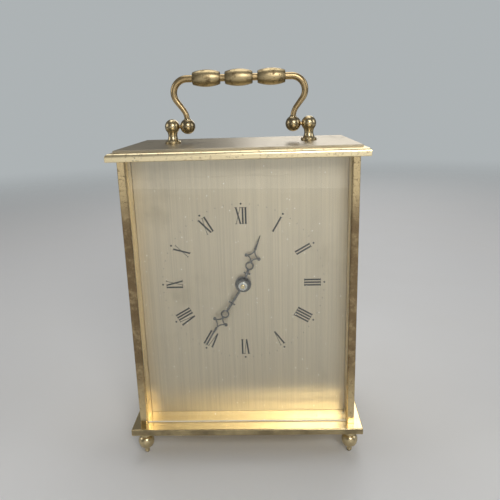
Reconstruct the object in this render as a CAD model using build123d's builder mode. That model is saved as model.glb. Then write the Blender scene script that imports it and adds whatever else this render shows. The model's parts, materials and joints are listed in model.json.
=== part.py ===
"""Brass carriage clock for a mantel: a glazed case on turned feet, with a swinging bail handle,
a dial with two pierced hands, a battery-driven balance movement and a hinged rear door.

Millimetres. +Z is up, the dial faces -Y, and the origin is the middle of the clock's footprint,
on the surface it stands on. Clock angles run clockwise from twelve, seen from the front.
"""

import os
from math import cos, radians, sin, sqrt

from build123d import *

os.makedirs("parts", exist_ok=True)

# --- Case ---------------------------------------------------------------------------------
plate_overhang_x = 3.5       # base and top plates beyond the pillars, at each side
plate_overhang_y = 4.0       # the same at front and rear
base_thickness = 3.0
top_thickness = 3.2
top_edge_radius = 1.5        # rounded upper edge of the top plate
cap_thickness = 1.05         # thin plate that covers the top plate's screws
cap_inset = 2.7
case_width = 95.0            # over the corner pillars
case_depth = 60.0
case_height = 117.5          # between the base and top plates
edge_break = 0.25

pillar_width = 3.2
glass_thickness = 1.7
glass_lip = 1.8              # pillar in front of the glass
glass_pocket = 0.9           # how far the glass enters a pillar
pillar_chamfer = 0.5
panel_thickness = 2.2
panel_recess = 0.6           # side panel set in from the pillars' outer faces

# --- Clearances ---------------------------------------------------------------------------
running = 0.05               # radial, a shaft that turns in its hole
seated = 0.03                # radial, a stud or pin that stays in its hole
slip = 0.1                   # between a loose panel and its frame

# --- Feet and case studs ------------------------------------------------------------------
foot_height = 11.6
foot_radius = 3.5
foot_tip_radius = 1.15
foot_flat_radius = 0.5       # flat that each tip rests on
stud_inset_x = 1.5           # case stud axis from a pillar's outer faces
stud_inset_y = 1.4
case_stud_radius = 0.7
case_stud_reach = 7.0        # thread inside a pillar
case_screw_head = 1.3

# --- Handle -------------------------------------------------------------------------------
post_ball_radius = 3.2
post_neck_radius = 2.0
post_foot_radius = 3.45
post_foot_thickness = 1.2
post_stud_radius = 1.2
hinge_height = 7.25          # hinge axis above the cap
handle_ball_spacing = 46.0
handle_ball_radius = 3.3
handle_ball_gap = 0.3        # between a handle ball and its post's ball
handle_pin_radius = 0.8
handle_height = 19.8         # barrels' axis above the hinge axis
handle_bulge = 56.4          # over the rod's centre line at its widest
handle_bend_radius = 5.8
handle_lean = 37.0           # degrees that the swan neck leans outwards
handle_rod_radius = 1.45
barrel_length = 11.8
barrel_gap = 2.1             # rod that shows between two barrels
barrel_radius = 3.55
barrel_end_radius = 2.75

# --- Rear door ----------------------------------------------------------------------------
door_thickness = 1.6
door_gap = 0.4
door_knuckle_radius = 1.4
door_pin_radius = 0.7
door_pin_reach = 4.0         # pin inside the door
door_pin_seat = 1.6          # pin inside a plate
knob_flange_radius = 2.8
knob_neck_radius = 1.1
knob_ball_radius = 2.0
knob_height = 4.4

# --- Dial and hands -----------------------------------------------------------------------
dial_thickness = 0.8
dial_recess = 11.6           # from the pillars' front faces to the dial's face
dial_hole_radius = 2.7
dial_post_length = 4.0
dial_post_radius = 1.5
hand_thickness = 0.4
hour_hand_angle = 20.0       # clock angles at rest
minute_hand_angle = 212.3
hour_hand_lift = 1.2         # back of each hand, from the dial's face
minute_hand_lift = 2.9

# --- Movement -----------------------------------------------------------------------------
movement_width = 64.0
movement_top = 22.0          # above the dial centre
movement_bottom = 33.0       # below the dial centre
movement_plate = 1.5
movement_space = 16.9        # between the movement's two plates
web_thickness = 1.2          # mounting plate between dial and movement
web_top_room = 14.9          # between the mounting plate and the top plate
web_bottom_room = 3.6        # between the mounting plate and the battery holder
rail_size = 4.0
m2_stud_radius = 0.9
nut_radius = 2.2             # over the corners
nut_thickness = 1.4
stud_end = 0.4               # stud that shows beyond its nut
pillar_post_radius = 2.0
post_margin = 3.0            # movement pillars in from the plate's edges

cannon_teeth, minute_teeth, minute_module = 12, 36, 0.5
hour_pinion_teeth, hour_teeth, hour_module = 10, 40, 0.48
centre_teeth, third_pinion_teeth, centre_module = 64, 8, 0.4
third_teeth, fourth_pinion_teeth, third_module = 60, 8, 0.36
fourth_teeth, index_pinion_teeth, fourth_module = 60, 8, 0.3
index_teeth, index_module = 20, 0.45
wheel_thickness = 0.8
pinion_length = 2.0
arbor_radius = 1.0
train_arbor_radius = 0.6
pivot_radius = 0.4
cannon_pipe_radius = 1.5
hour_pipe_radius = 2.2
setting_arbor_radius = 0.9
setting_knob_radius = 5.5
setting_knob_length = 6.0
balance_radius = 9.5
balance_rim_width = 1.6
lever_clearance = 0.48       # between the lever's arbor and the balance's rim

# --- Battery ------------------------------------------------------------------------------
cell_radius = 12.9
cell_length = 48.0
cell_nub_radius = 3.2
cell_nub_length = 1.6
cell_y = 4.0
holder_wall = 1.5
holder_end_height = 17.0
holder_side_height = 9.0
spring_room = 4.0            # contact spring at the cell's flat end
cell_top_room = 2.2          # between the cell and the movement's plates

# --- Levels and places that follow ----------------------------------------------------------
plate_width = case_width + 2 * plate_overhang_x
plate_depth = case_depth + 2 * plate_overhang_y
base_z = foot_height
floor_z = base_z + base_thickness
ceiling_z = floor_z + case_height
top_z = ceiling_z + top_thickness
cap_z = top_z + cap_thickness
hinge_z = cap_z + hinge_height
barrel_z = hinge_z + handle_height
post_spacing = handle_ball_spacing + 2 * (handle_ball_radius + post_ball_radius + handle_ball_gap)
barrel_pitch = barrel_length + barrel_gap
front_y = -case_depth / 2
rear_y = case_depth / 2
pillar_depth = glass_lip + glass_thickness + slip
glass_y = front_y + glass_lip + slip / 2
panel_end_y = case_depth / 2 - pillar_depth
inner_x = case_width / 2 - panel_recess - panel_thickness
stud_x = case_width / 2 - stud_inset_x
stud_y = case_depth / 2 - stud_inset_y
dial_y = front_y + dial_recess
cell_z = floor_z + holder_wall + slip + cell_radius
movement_floor = cell_z + cell_radius + cell_top_room
dial_z = movement_floor + movement_bottom
web_above = ceiling_z - web_top_room - dial_z
web_below = dial_z - floor_z - holder_end_height - web_bottom_room
dial_back_y = dial_y + dial_thickness
web_y = dial_back_y + dial_post_length
front_plate_y = web_y + web_thickness
train_y = front_plate_y + movement_plate
back_plate_y = train_y + movement_space
movement_end_y = back_plate_y + movement_plate
door_y = rear_y - door_knuckle_radius - slip
door_pin_x = case_width / 2 - pillar_width - door_knuckle_radius - door_gap / 2


def save(piece, label):
    """Name a finished piece and write it to its own STEP file."""
    piece.part.label = label
    export_step(piece.part, f"parts/{label}.step")


def facing(y, x=0.0, z=0.0, clock_angle=0.0):
    """A plane that faces the front at depth y; its own up direction points at clock_angle."""
    turn = radians(clock_angle)
    return Plane(origin=(x, y, z), x_dir=(cos(turn), 0, -sin(turn)), z_dir=(0, -1, 0))


def on_dial(y, place=(0.0, 0.0)):
    """A front-facing plane at depth y whose origin is placed from the dial's centre."""
    return facing(y, place[0], dial_z + place[1])


def mirrored(points, side):
    """The outline on the right (side 1) or mirrored to the left (side -1), same winding."""
    return [(side * x, y) for x, y in points][:: int(side)]


def along(start, distance, direction):
    """The point at a distance from start, in a direction in degrees from +X."""
    turn = radians(direction)
    return (start[0] + distance * cos(turn), start[1] + distance * sin(turn))


def tooth_points(teeth, module, phase):
    """Outline of a clock gear with slim straight-flanked teeth, one of them centred at phase."""
    pitch_radius = teeth * module / 2
    root, tip = pitch_radius - 1.2 * module, pitch_radius + 0.8 * module
    pitch_angle = 360 / teeth
    points = []
    for index in range(teeth):
        middle = phase + index * pitch_angle
        for radius, share in ((root, -0.26), (tip, -0.09), (tip, 0.09), (root, 0.26)):
            points.append(along((0, 0), radius, middle + share * pitch_angle))
    return points


def meshing_phase(driver_phase, driver_teeth, teeth, direction):
    """Where a gear needs a tooth so that it meshes with a driver that lies opposite to direction."""
    offset = (driver_phase - direction) * driver_teeth / teeth
    return direction + 180 - offset + 180 / teeth


# --- Base plate -----------------------------------------------------------------------------
with BuildPart() as base_plate:
    with BuildSketch(Plane.XY.offset(base_z)):
        Rectangle(plate_width, plate_depth)
    extrude(amount=base_thickness)
    chamfer(base_plate.edges(), length=edge_break)
    with BuildSketch(Plane.XY.offset(base_z)):
        with GridLocations(2 * stud_x, 2 * stud_y, 2, 2):
            Circle(case_stud_radius + seated)
    extrude(amount=base_thickness, mode=Mode.SUBTRACT)
    with BuildSketch(Plane.XY.offset(floor_z - door_pin_seat)):
        with Locations((door_pin_x, door_y)):
            Circle(door_pin_radius + seated)
    extrude(amount=door_pin_seat, mode=Mode.SUBTRACT)
save(base_plate, "base_plate")

# --- Feet: turned finials, each with a stud that clamps the base plate to a pillar ----------
foot_tip_z = sqrt(foot_tip_radius**2 - foot_flat_radius**2)
foot_waist_z = 2 * foot_tip_radius - 0.1
foot_waist_radius = 1.05
foot_bowl_z = 3.0            # underside of the bowl
foot_bowl_radius = 1.75      # where the underside starts
foot_belly_z = 6.5           # widest part of the bowl
foot_neck_z = 8.6
foot_neck_radius = 2.2
foot_collar = 1.4            # thickness of the flange under the base plate

for level, place_y in (("front", -stud_y), ("rear", stud_y)):
    for hand, place_x in (("left", -stud_x), ("right", stud_x)):
        foot_plane = facing(place_y, place_x, 0)
        with BuildPart() as foot:
            with BuildSketch(foot_plane):
                with BuildLine():
                    Line((0, 0), (foot_flat_radius, 0))
                    tip = ThreePointArc(
                        (foot_flat_radius, 0),
                        along((0, foot_tip_z), foot_tip_radius, -30),
                        (foot_tip_radius, foot_tip_z),
                    )
                    waist = Spline(
                        tip @ 1,
                        (foot_waist_radius, foot_waist_z),
                        (foot_bowl_radius, foot_bowl_z),
                    )
                    bowl = Spline(
                        waist @ 1,
                        (0.77 * foot_radius, foot_bowl_z + 0.55),
                        (0.94 * foot_radius, (foot_bowl_z + foot_belly_z) / 2),
                        (foot_radius, foot_belly_z),
                        (0.9 * foot_radius, foot_belly_z + 1.1),
                        (foot_neck_radius, foot_neck_z),
                    )
                    Polyline(
                        bowl @ 1,
                        (foot_neck_radius, foot_height - foot_collar),
                        (foot_radius - 0.3, foot_height - foot_collar),
                        (foot_radius - 0.3, foot_height),
                        (case_stud_radius, foot_height),
                        (case_stud_radius, floor_z + case_stud_reach),
                        (0, floor_z + case_stud_reach),
                        (0, 0),
                    )
                make_face()
            revolve(axis=Axis((place_x, place_y, 0), (0, 0, 1)))
        save(foot, f"foot_{level}_{hand}")

# --- Corner pillars: the front ones are rebated for the glass -------------------------------
pillar_out = case_width / 2
pillar_in = pillar_out - pillar_width
front_section = [
    (pillar_in + pillar_chamfer, front_y),
    (pillar_out, front_y),
    (pillar_out, front_y + pillar_depth),
    (pillar_in + glass_pocket, front_y + pillar_depth),
    (pillar_in + glass_pocket, front_y + glass_lip),
    (pillar_in, front_y + glass_lip),
    (pillar_in, front_y + pillar_chamfer),
]
rear_section = [
    (pillar_in, rear_y - pillar_depth),
    (pillar_out, rear_y - pillar_depth),
    (pillar_out, rear_y),
    (pillar_in, rear_y),
]
for level, section, place_y in (("front", front_section, -stud_y), ("rear", rear_section, stud_y)):
    for hand, side in (("left", -1), ("right", 1)):
        with BuildPart() as pillar:
            with BuildSketch(Plane.XY.offset(floor_z)):
                Polygon(*mirrored(section, side), align=None)
            extrude(amount=case_height)
            bore_depth = case_stud_reach + 2 * slip
            for end_z in (floor_z, ceiling_z - bore_depth):
                with BuildSketch(Plane.XY.offset(end_z)):
                    with Locations((side * stud_x, place_y)):
                        Circle(case_stud_radius + seated)
                extrude(amount=bore_depth, mode=Mode.SUBTRACT)
        save(pillar, f"pillar_{level}_{hand}")

# --- Side panels, with blind holes for the screws that hold the mounting rails --------------
rail_screw_radius = 0.8
rail_screw_bite = 1.4
rail_y = front_plate_y + rail_size / 2
rail_screw_heights = (dial_z - web_below + 10, dial_z + web_above - 10)
panel_x = inner_x + panel_thickness / 2
for hand, side in (("left", -1), ("right", 1)):
    with BuildPart() as side_panel:
        with BuildSketch(Plane.XY.offset(floor_z)):
            with Locations((side * panel_x, 0)):
                Rectangle(panel_thickness, 2 * panel_end_y)
        extrude(amount=case_height)
        with BuildSketch(Plane.YZ.offset(side * inner_x)):
            with Locations(*[(rail_y, height) for height in rail_screw_heights]):
                Circle(rail_screw_radius + seated)
        extrude(amount=side * rail_screw_bite, mode=Mode.SUBTRACT)
    save(side_panel, f"side_panel_{hand}")

# --- Front glass ------------------------------------------------------------------------------
glass_half_width = pillar_in + glass_pocket - slip
with BuildPart() as front_glass:
    with BuildSketch(facing(glass_y + glass_thickness, 0, (floor_z + ceiling_z) / 2)):
        Rectangle(2 * glass_half_width, case_height - 2 * slip)
    extrude(amount=glass_thickness)
    chamfer(front_glass.edges(), length=edge_break)
save(front_glass, "front_glass")

# --- Top plate, its countersunk screws and the cap that hides them --------------------------
top_screw_sink = case_screw_head - case_stud_radius
with BuildPart() as top_plate:
    with BuildSketch(Plane.XY.offset(ceiling_z)):
        Rectangle(plate_width, plate_depth)
    extrude(amount=top_thickness)
    fillet(top_plate.edges().group_by(Axis.Z)[-1], radius=top_edge_radius)
    chamfer(top_plate.edges().group_by(Axis.Z)[0], length=edge_break)
    with BuildSketch(Plane.XY.offset(ceiling_z)):
        with GridLocations(2 * stud_x, 2 * stud_y, 2, 2):
            Circle(case_stud_radius + seated)
        with GridLocations(post_spacing, 0, 2, 1):
            Circle(post_stud_radius + seated)
    extrude(amount=top_thickness, mode=Mode.SUBTRACT)
    with BuildSketch(Plane.XY.offset(top_z)):
        with GridLocations(2 * stud_x, 2 * stud_y, 2, 2):
            Circle(case_screw_head + seated)
    extrude(amount=-top_screw_sink, taper=45, mode=Mode.SUBTRACT)
    with BuildSketch(Plane.XY.offset(ceiling_z)):
        with Locations((door_pin_x, door_y)):
            Circle(door_pin_radius + seated)
    extrude(amount=door_pin_seat, mode=Mode.SUBTRACT)
save(top_plate, "top_plate")

with BuildPart() as top_screws:
    for place_x in (-stud_x, stud_x):
        for place_y in (-stud_y, stud_y):
            with BuildSketch(facing(place_y, place_x, 0)):
                Polygon(
                    (0, ceiling_z - case_stud_reach),
                    (case_stud_radius, ceiling_z - case_stud_reach),
                    (case_stud_radius, top_z - top_screw_sink),
                    (case_screw_head, top_z),
                    (0, top_z),
                    align=None,
                )
            revolve(axis=Axis((place_x, place_y, 0), (0, 0, 1)))
save(top_screws, "top_screws")

with BuildPart() as top_cap:
    with BuildSketch(Plane.XY.offset(top_z)):
        Rectangle(plate_width - 2 * cap_inset, plate_depth - 2 * cap_inset)
    extrude(amount=cap_thickness)
    chamfer(top_cap.edges().group_by(Axis.Z)[-1], length=edge_break)
    with BuildSketch(Plane.XY.offset(top_z)):
        with GridLocations(post_spacing, 0, 2, 1):
            Circle(post_stud_radius + seated)
    extrude(amount=cap_thickness, mode=Mode.SUBTRACT)
save(top_cap, "top_cap")

# --- Handle posts: a foot, a waisted neck and a ball bored for the handle's pin -------------
post_nut_thickness = 1.8
post_stud_end = ceiling_z - post_nut_thickness - 0.6
post_foot_z = cap_z + post_foot_thickness
post_foot_break = 0.35       # rounded-off edge of the foot
ball_joins_neck = -44        # degrees below the ball's widest part
post_bore_reach = 1.2        # pin's bore beyond the middle of a post's ball
for hand, side in (("left", -1), ("right", 1)):
    post_x = side * post_spacing / 2
    neck_top = along((0, hinge_z), post_ball_radius, ball_joins_neck)
    with BuildPart() as handle_post:
        with BuildSketch(facing(0, post_x, 0)):
            with BuildLine():
                foot_line = Polyline(
                    (0, post_stud_end),
                    (post_stud_radius, post_stud_end),
                    (post_stud_radius, cap_z),
                    (post_foot_radius, cap_z),
                    (post_foot_radius, post_foot_z - post_foot_break),
                    (post_foot_radius - post_foot_break, post_foot_z),
                    (post_neck_radius + 2 * post_foot_break, post_foot_z),
                )
                ThreePointArc(
                    foot_line @ 1,
                    (post_neck_radius, (post_foot_z + neck_top[1]) / 2),
                    neck_top,
                )
                ThreePointArc(
                    neck_top,
                    (post_ball_radius, hinge_z),
                    (0, hinge_z + post_ball_radius),
                )
                Line((0, hinge_z + post_ball_radius), (0, post_stud_end))
            make_face()
        revolve(axis=Axis((post_x, 0, 0), (0, 0, 1)))
        with BuildSketch(Plane.YZ.offset(post_x + side * post_bore_reach)):
            with Locations((0, hinge_z)):
                Circle(handle_pin_radius + running)
        extrude(amount=-side * (post_ball_radius + post_bore_reach), mode=Mode.SUBTRACT)
    save(handle_post, f"handle_post_{hand}")

post_nut_radius = 2.6        # over the corners
with BuildPart() as post_nuts:
    with BuildSketch(Plane.XY.offset(ceiling_z)):
        with GridLocations(post_spacing, 0, 2, 1):
            RegularPolygon(radius=post_nut_radius, side_count=6)
            Circle(post_stud_radius + seated, mode=Mode.SUBTRACT)
    extrude(amount=-post_nut_thickness)
save(post_nuts, "post_nuts")

# --- Handle: a swan-necked rod with a ball on each end, hung on two pins --------------------
rod_start_z = hinge_z + handle_pin_radius + 0.4
neck_start_z = hinge_z + handle_ball_radius - 0.8
lean_sin, lean_cos = sin(radians(handle_lean)), cos(radians(handle_lean))
ball_x = handle_ball_spacing / 2
bend_x = handle_bulge / 2 - handle_bend_radius
bend_z = barrel_z - handle_bend_radius
bend_start = (bend_x + handle_bend_radius * lean_cos, bend_z - handle_bend_radius * lean_sin)
# The lower arc leaves the ball upright and meets the leaning straight that runs to the bend.
rise = bend_start[1] - neck_start_z
reach = bend_start[0] - ball_x
neck_radius = (rise * lean_sin - reach * lean_cos) / (1 - lean_cos)
neck_end = (ball_x + neck_radius * (1 - lean_cos), neck_start_z + neck_radius * lean_sin)

with BuildPart() as handle_rod:
    with BuildLine(Plane.XZ) as rod_path:
        Line((ball_x, rod_start_z), (ball_x, neck_start_z))
        TangentArc((ball_x, neck_start_z), neck_end, tangent=(0, 1))
        Line(neck_end, bend_start)
        TangentArc(bend_start, (bend_x, barrel_z), tangent=(lean_sin, lean_cos))
        Line((bend_x, barrel_z), (0, barrel_z))
        mirror(about=Plane.YZ)
    with BuildSketch(Plane.XY.offset(rod_start_z)):
        with Locations((ball_x, 0)):
            Circle(handle_rod_radius)
    sweep(path=rod_path.wires()[0])
save(handle_rod, "handle_rod")

pin_inner_x = ball_x - 1.5
pin_outer_x = post_spacing / 2 + post_bore_reach - 0.3
for hand, side in (("left", -1), ("right", 1)):
    with BuildPart() as handle_ball:
        with Locations((side * ball_x, 0, hinge_z)):
            Sphere(handle_ball_radius)
        with BuildSketch(Plane.XY.offset(rod_start_z)):
            with Locations((side * ball_x, 0)):
                Circle(handle_rod_radius + seated)
        extrude(amount=handle_ball_radius, mode=Mode.SUBTRACT)
        with BuildSketch(Plane.YZ.offset(side * pin_inner_x)):
            with Locations((0, hinge_z)):
                Circle(handle_pin_radius + seated)
        extrude(amount=side * 2 * handle_ball_radius, mode=Mode.SUBTRACT)
    save(handle_ball, f"handle_ball_{hand}")

with BuildPart() as handle_pins:
    for side in (-1, 1):
        with BuildSketch(Plane.YZ.offset(side * pin_inner_x)):
            with Locations((0, hinge_z)):
                Circle(handle_pin_radius)
        extrude(amount=side * (pin_outer_x - pin_inner_x))
save(handle_pins, "handle_pins")

for label, place_x in (("left", -barrel_pitch), ("middle", 0), ("right", barrel_pitch)):
    half = barrel_length / 2
    bore = handle_rod_radius + seated
    with BuildPart() as handle_barrel:
        with BuildSketch(Plane.XZ):
            with BuildLine():
                near = Polyline(
                    (place_x - half, barrel_z + bore),
                    (place_x - half, barrel_z + barrel_end_radius - 0.35),
                    (place_x - half + 0.25, barrel_z + barrel_end_radius - 0.1),
                    (place_x - half + 0.6, barrel_z + barrel_end_radius),
                )
                crown = ThreePointArc(
                    near @ 1,
                    (place_x, barrel_z + barrel_radius),
                    (place_x + half - 0.6, barrel_z + barrel_end_radius),
                )
                Polyline(
                    crown @ 1,
                    (place_x + half - 0.25, barrel_z + barrel_end_radius - 0.1),
                    (place_x + half, barrel_z + barrel_end_radius - 0.35),
                    (place_x + half, barrel_z + bore),
                    (place_x - half, barrel_z + bore),
                )
            make_face()
        revolve(axis=Axis((0, 0, barrel_z), (1, 0, 0)))
    save(handle_barrel, f"handle_barrel_{label}")

# --- Rear door: a plate with a round hinge edge, on two pins in the base and top plates -----
door_left = -(pillar_in - door_gap)
door_top = ceiling_z - door_gap
door_bottom = floor_z + door_gap
knob_x = door_left + 7.0
knob_z = (floor_z + ceiling_z) / 2
knob_stud_radius = 0.9
knob_flange_thickness = 0.6
with BuildPart() as rear_door:
    with BuildSketch(Plane.XY.offset(door_bottom)):
        with Locations(((door_left + door_pin_x) / 2, door_y)):
            Rectangle(door_pin_x - door_left, door_thickness)
        with Locations((door_pin_x, door_y)):
            Circle(door_knuckle_radius)
    extrude(amount=door_top - door_bottom)
    for start, depth in ((door_bottom, door_pin_reach), (door_top, -door_pin_reach)):
        with BuildSketch(Plane.XY.offset(start)):
            with Locations((door_pin_x, door_y)):
                Circle(door_pin_radius + running)
        extrude(amount=depth, mode=Mode.SUBTRACT)
    with BuildSketch(facing(door_y + door_thickness / 2, knob_x, knob_z)):
        Circle(knob_stud_radius + seated)
    extrude(amount=door_thickness, mode=Mode.SUBTRACT)
save(rear_door, "rear_door")

with BuildPart() as door_pins:
    for end, depth in ((floor_z - door_pin_seat, 1), (ceiling_z + door_pin_seat, -1)):
        with BuildSketch(Plane.XY.offset(end)):
            with Locations((door_pin_x, door_y)):
                Circle(door_pin_radius)
        extrude(amount=depth * (door_pin_seat + door_gap + door_pin_reach - 2 * slip))
save(door_pins, "door_pins")

knob_seat_y = door_y + door_thickness / 2
knob_ball_y = knob_seat_y + knob_height - knob_ball_radius
knob_neck_end_y = knob_ball_y - sqrt(knob_ball_radius**2 - knob_neck_radius**2)
with BuildPart() as door_knob:
    with BuildSketch(Plane.XY.offset(knob_z)):
        with BuildLine():
            shank = Polyline(
                (knob_x, knob_seat_y - door_thickness),
                (knob_x + knob_stud_radius, knob_seat_y - door_thickness),
                (knob_x + knob_stud_radius, knob_seat_y),
                (knob_x + knob_flange_radius, knob_seat_y),
                (knob_x + knob_flange_radius, knob_seat_y + knob_flange_thickness),
                (knob_x + knob_neck_radius, knob_seat_y + knob_flange_thickness),
                (knob_x + knob_neck_radius, knob_neck_end_y),
            )
            ThreePointArc(
                shank @ 1,
                (knob_x + knob_ball_radius, knob_ball_y),
                (knob_x, knob_ball_y + knob_ball_radius),
            )
            Line((knob_x, knob_ball_y + knob_ball_radius), (knob_x, knob_seat_y - door_thickness))
        make_face()
    revolve(axis=Axis((knob_x, 0, knob_z), (0, 1, 0)))
save(door_knob, "door_knob")

catch_depth = 5.0
catch_width = 12.0
catch_height = 6.0
catch_x = door_left + catch_width / 2 + 3.0
catch_y = door_y - door_thickness / 2 - 2 * slip - catch_depth / 2
with BuildPart() as door_catch:
    with BuildSketch(Plane.XY.offset(floor_z)):
        with Locations((catch_x, catch_y)):
            Rectangle(catch_width, catch_depth)
    extrude(amount=catch_height)
    fillet(door_catch.edges().filter_by(Axis.Z), radius=0.8)
save(door_catch, "door_catch")

# --- Dial, on four posts whose studs are nutted behind the mounting plate -------------------
dial_post_x = inner_x - 9.0
dial_post_heights = (dial_z - web_below + 5, dial_z + web_above - 5)
dial_post_places = [(x, z) for x in (-dial_post_x, dial_post_x) for z in dial_post_heights]
with BuildPart() as dial_plate:
    with BuildSketch(facing(dial_back_y, 0, (floor_z + ceiling_z) / 2)):
        Rectangle(2 * (inner_x - slip), case_height - slip)
    extrude(amount=dial_thickness)
    with BuildSketch(on_dial(dial_back_y)):
        Circle(dial_hole_radius)
    extrude(amount=dial_thickness, mode=Mode.SUBTRACT)
    with BuildSketch(facing(web_y)):
        with Locations(*dial_post_places):
            Circle(dial_post_radius)
    extrude(amount=dial_post_length)
    dial_stud_length = web_thickness + nut_thickness + stud_end
    with BuildSketch(facing(web_y + dial_stud_length)):
        with Locations(*dial_post_places):
            Circle(m2_stud_radius)
    extrude(amount=dial_stud_length)
save(dial_plate, "dial_plate")

# --- Mounting plate and its rails: they carry dial and movement between the side panels -----
movement_mid = (movement_top - movement_bottom) / 2
movement_posts = [
    (x, dial_z + z)
    for x in (post_margin - movement_width / 2, movement_width / 2 - post_margin)
    for z in (movement_top - post_margin, post_margin - movement_bottom)
]
minute_place = along((0, 0), (cannon_teeth + minute_teeth) * minute_module / 2, 60)
setting_place = along(minute_place, (cannon_teeth + minute_teeth) * minute_module / 2, 0)
plate_screw_heights = (dial_z - web_below + 16, dial_z + web_above - 16)
rail_x = inner_x - rail_size / 2
plate_screw_places = [(x, z) for x in (-rail_x, rail_x) for z in plate_screw_heights]

motion_hole_radius = 4.0     # round the motion work's pipes
with BuildPart() as mounting_plate:
    with BuildSketch(facing(front_plate_y, 0, dial_z + (web_above - web_below) / 2)):
        Rectangle(2 * (inner_x - slip), web_above + web_below)
    extrude(amount=web_thickness)
    with BuildSketch(facing(front_plate_y)):
        with Locations(*dial_post_places, *movement_posts):
            Circle(m2_stud_radius + seated)
        with Locations(*plate_screw_places):
            Circle(rail_screw_radius + seated)
        with Locations((0, dial_z)):
            Circle(motion_hole_radius)
        with Locations((minute_place[0], dial_z + minute_place[1])):
            Circle(m2_stud_radius + seated)
        with Locations((setting_place[0], dial_z + setting_place[1])):
            Circle(setting_arbor_radius + 4 * running)
    extrude(amount=web_thickness, mode=Mode.SUBTRACT)
save(mounting_plate, "mounting_plate")

for hand, side in (("left", -1), ("right", 1)):
    with BuildPart() as mounting_rail:
        with BuildSketch(Plane.XY.offset(dial_z - web_below)):
            with Locations((side * rail_x, rail_y)):
                Rectangle(rail_size, rail_size)
        extrude(amount=web_above + web_below)
        with BuildSketch(Plane.YZ.offset(side * inner_x)):
            with Locations(*[(rail_y, height) for height in rail_screw_heights]):
                Circle(rail_screw_radius + seated)
        extrude(amount=-side * rail_size, mode=Mode.SUBTRACT)
        with BuildSketch(facing(front_plate_y + rail_size)):
            with Locations(*[(side * rail_x, height) for height in plate_screw_heights]):
                Circle(rail_screw_radius + seated)
        extrude(amount=rail_size, mode=Mode.SUBTRACT)
    save(mounting_rail, f"mounting_rail_{hand}")

screw_head_radius = 1.6
screw_head_height = 0.9
with BuildPart() as mounting_screws:
    for side in (-1, 1):
        with BuildSketch(Plane.YZ.offset(side * (inner_x - rail_size))):
            with Locations(*[(rail_y, height) for height in rail_screw_heights]):
                Circle(rail_screw_radius)
        extrude(amount=side * (rail_size + rail_screw_bite - slip))
        with BuildSketch(Plane.YZ.offset(side * (inner_x - rail_size))):
            with Locations(*[(rail_y, height) for height in rail_screw_heights]):
                Circle(screw_head_radius)
        extrude(amount=-side * screw_head_height)
    with BuildSketch(facing(web_y)):
        with Locations(*plate_screw_places):
            Circle(screw_head_radius)
    extrude(amount=screw_head_height)
    with BuildSketch(facing(web_y)):
        with Locations(*plate_screw_places):
            Circle(rail_screw_radius)
    extrude(amount=-(web_thickness + rail_size - slip))
save(mounting_screws, "mounting_screws")

# --- Movement plates, pillars and the nuts on all studs of that size ------------------------
train_level = (train_y + 1.6, train_y + 4.8, train_y + 8.0, train_y + 11.0)
third_place = along((0, 0), (centre_teeth + third_pinion_teeth) * centre_module / 2, 180)
fourth_distance = (third_teeth + fourth_pinion_teeth) * third_module / 2
fourth_place = along(third_place, fourth_distance, -75)
index_distance = (fourth_teeth + index_pinion_teeth) * fourth_module / 2
index_place = along(fourth_place, index_distance, -60)
lever_place = along(index_place, 7.6, -4)
balance_place = along(lever_place, balance_radius + train_arbor_radius + lever_clearance, -4.4)
pivot_places = (third_place, fourth_place, index_place, lever_place, balance_place)
boss_height = 1.1
boss_radius = 2.0
minute_stud_radius = 0.8

for label, plate_back in (("movement_front_plate", train_y), ("movement_back_plate", movement_end_y)):
    with BuildPart() as movement_side:
        with BuildSketch(on_dial(plate_back, (0, movement_mid))):
            Rectangle(movement_width, movement_top + movement_bottom)
        extrude(amount=movement_plate)
        with BuildSketch(on_dial(plate_back)):
            with Locations((0, 0)):
                Circle(arbor_radius + running)
            with Locations(*pivot_places):
                Circle(pivot_radius + running)
            with Locations(setting_place):
                Circle(setting_arbor_radius + running)
            with Locations(*[(x, z - dial_z) for x, z in movement_posts]):
                Circle(m2_stud_radius + seated)
        extrude(amount=movement_plate, mode=Mode.SUBTRACT)
        if label == "movement_front_plate":
            # The minute wheel turns on a fixed stud that stands out towards the dial.
            with BuildSketch(on_dial(front_plate_y, minute_place)):
                Circle(minute_stud_radius)
            extrude(amount=front_plate_y - dial_back_y - 0.3)
        else:
            # The regulator turns on a boss round the balance's rear pivot.
            with BuildSketch(on_dial(movement_end_y + boss_height, balance_place)):
                Circle(boss_radius)
                Circle(pivot_radius + running, mode=Mode.SUBTRACT)
            extrude(amount=boss_height)
    save(movement_side, label)

pillar_end = web_thickness + movement_plate + nut_thickness + stud_end
with BuildPart() as movement_pillars:
    with BuildSketch(facing(back_plate_y)):
        with Locations(*movement_posts):
            Circle(pillar_post_radius)
    extrude(amount=movement_space)
    with BuildSketch(facing(train_y)):
        with Locations(*movement_posts):
            Circle(m2_stud_radius)
    extrude(amount=pillar_end)
    with BuildSketch(facing(back_plate_y)):
        with Locations(*movement_posts):
            Circle(m2_stud_radius)
    extrude(amount=-(movement_plate + nut_thickness + stud_end))
save(movement_pillars, "movement_pillars")

nut_seats = (
    (front_plate_y + nut_thickness, dial_post_places),
    (web_y, movement_posts),
    (movement_end_y + nut_thickness, movement_posts),
)
with BuildPart() as hex_nuts:
    for seat_y, places in nut_seats:
        with BuildSketch(facing(seat_y)):
            with Locations(*places):
                RegularPolygon(radius=nut_radius, side_count=6)
                Circle(m2_stud_radius + seated, mode=Mode.SUBTRACT)
        extrude(amount=nut_thickness)
save(hex_nuts, "hex_nuts")

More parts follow.
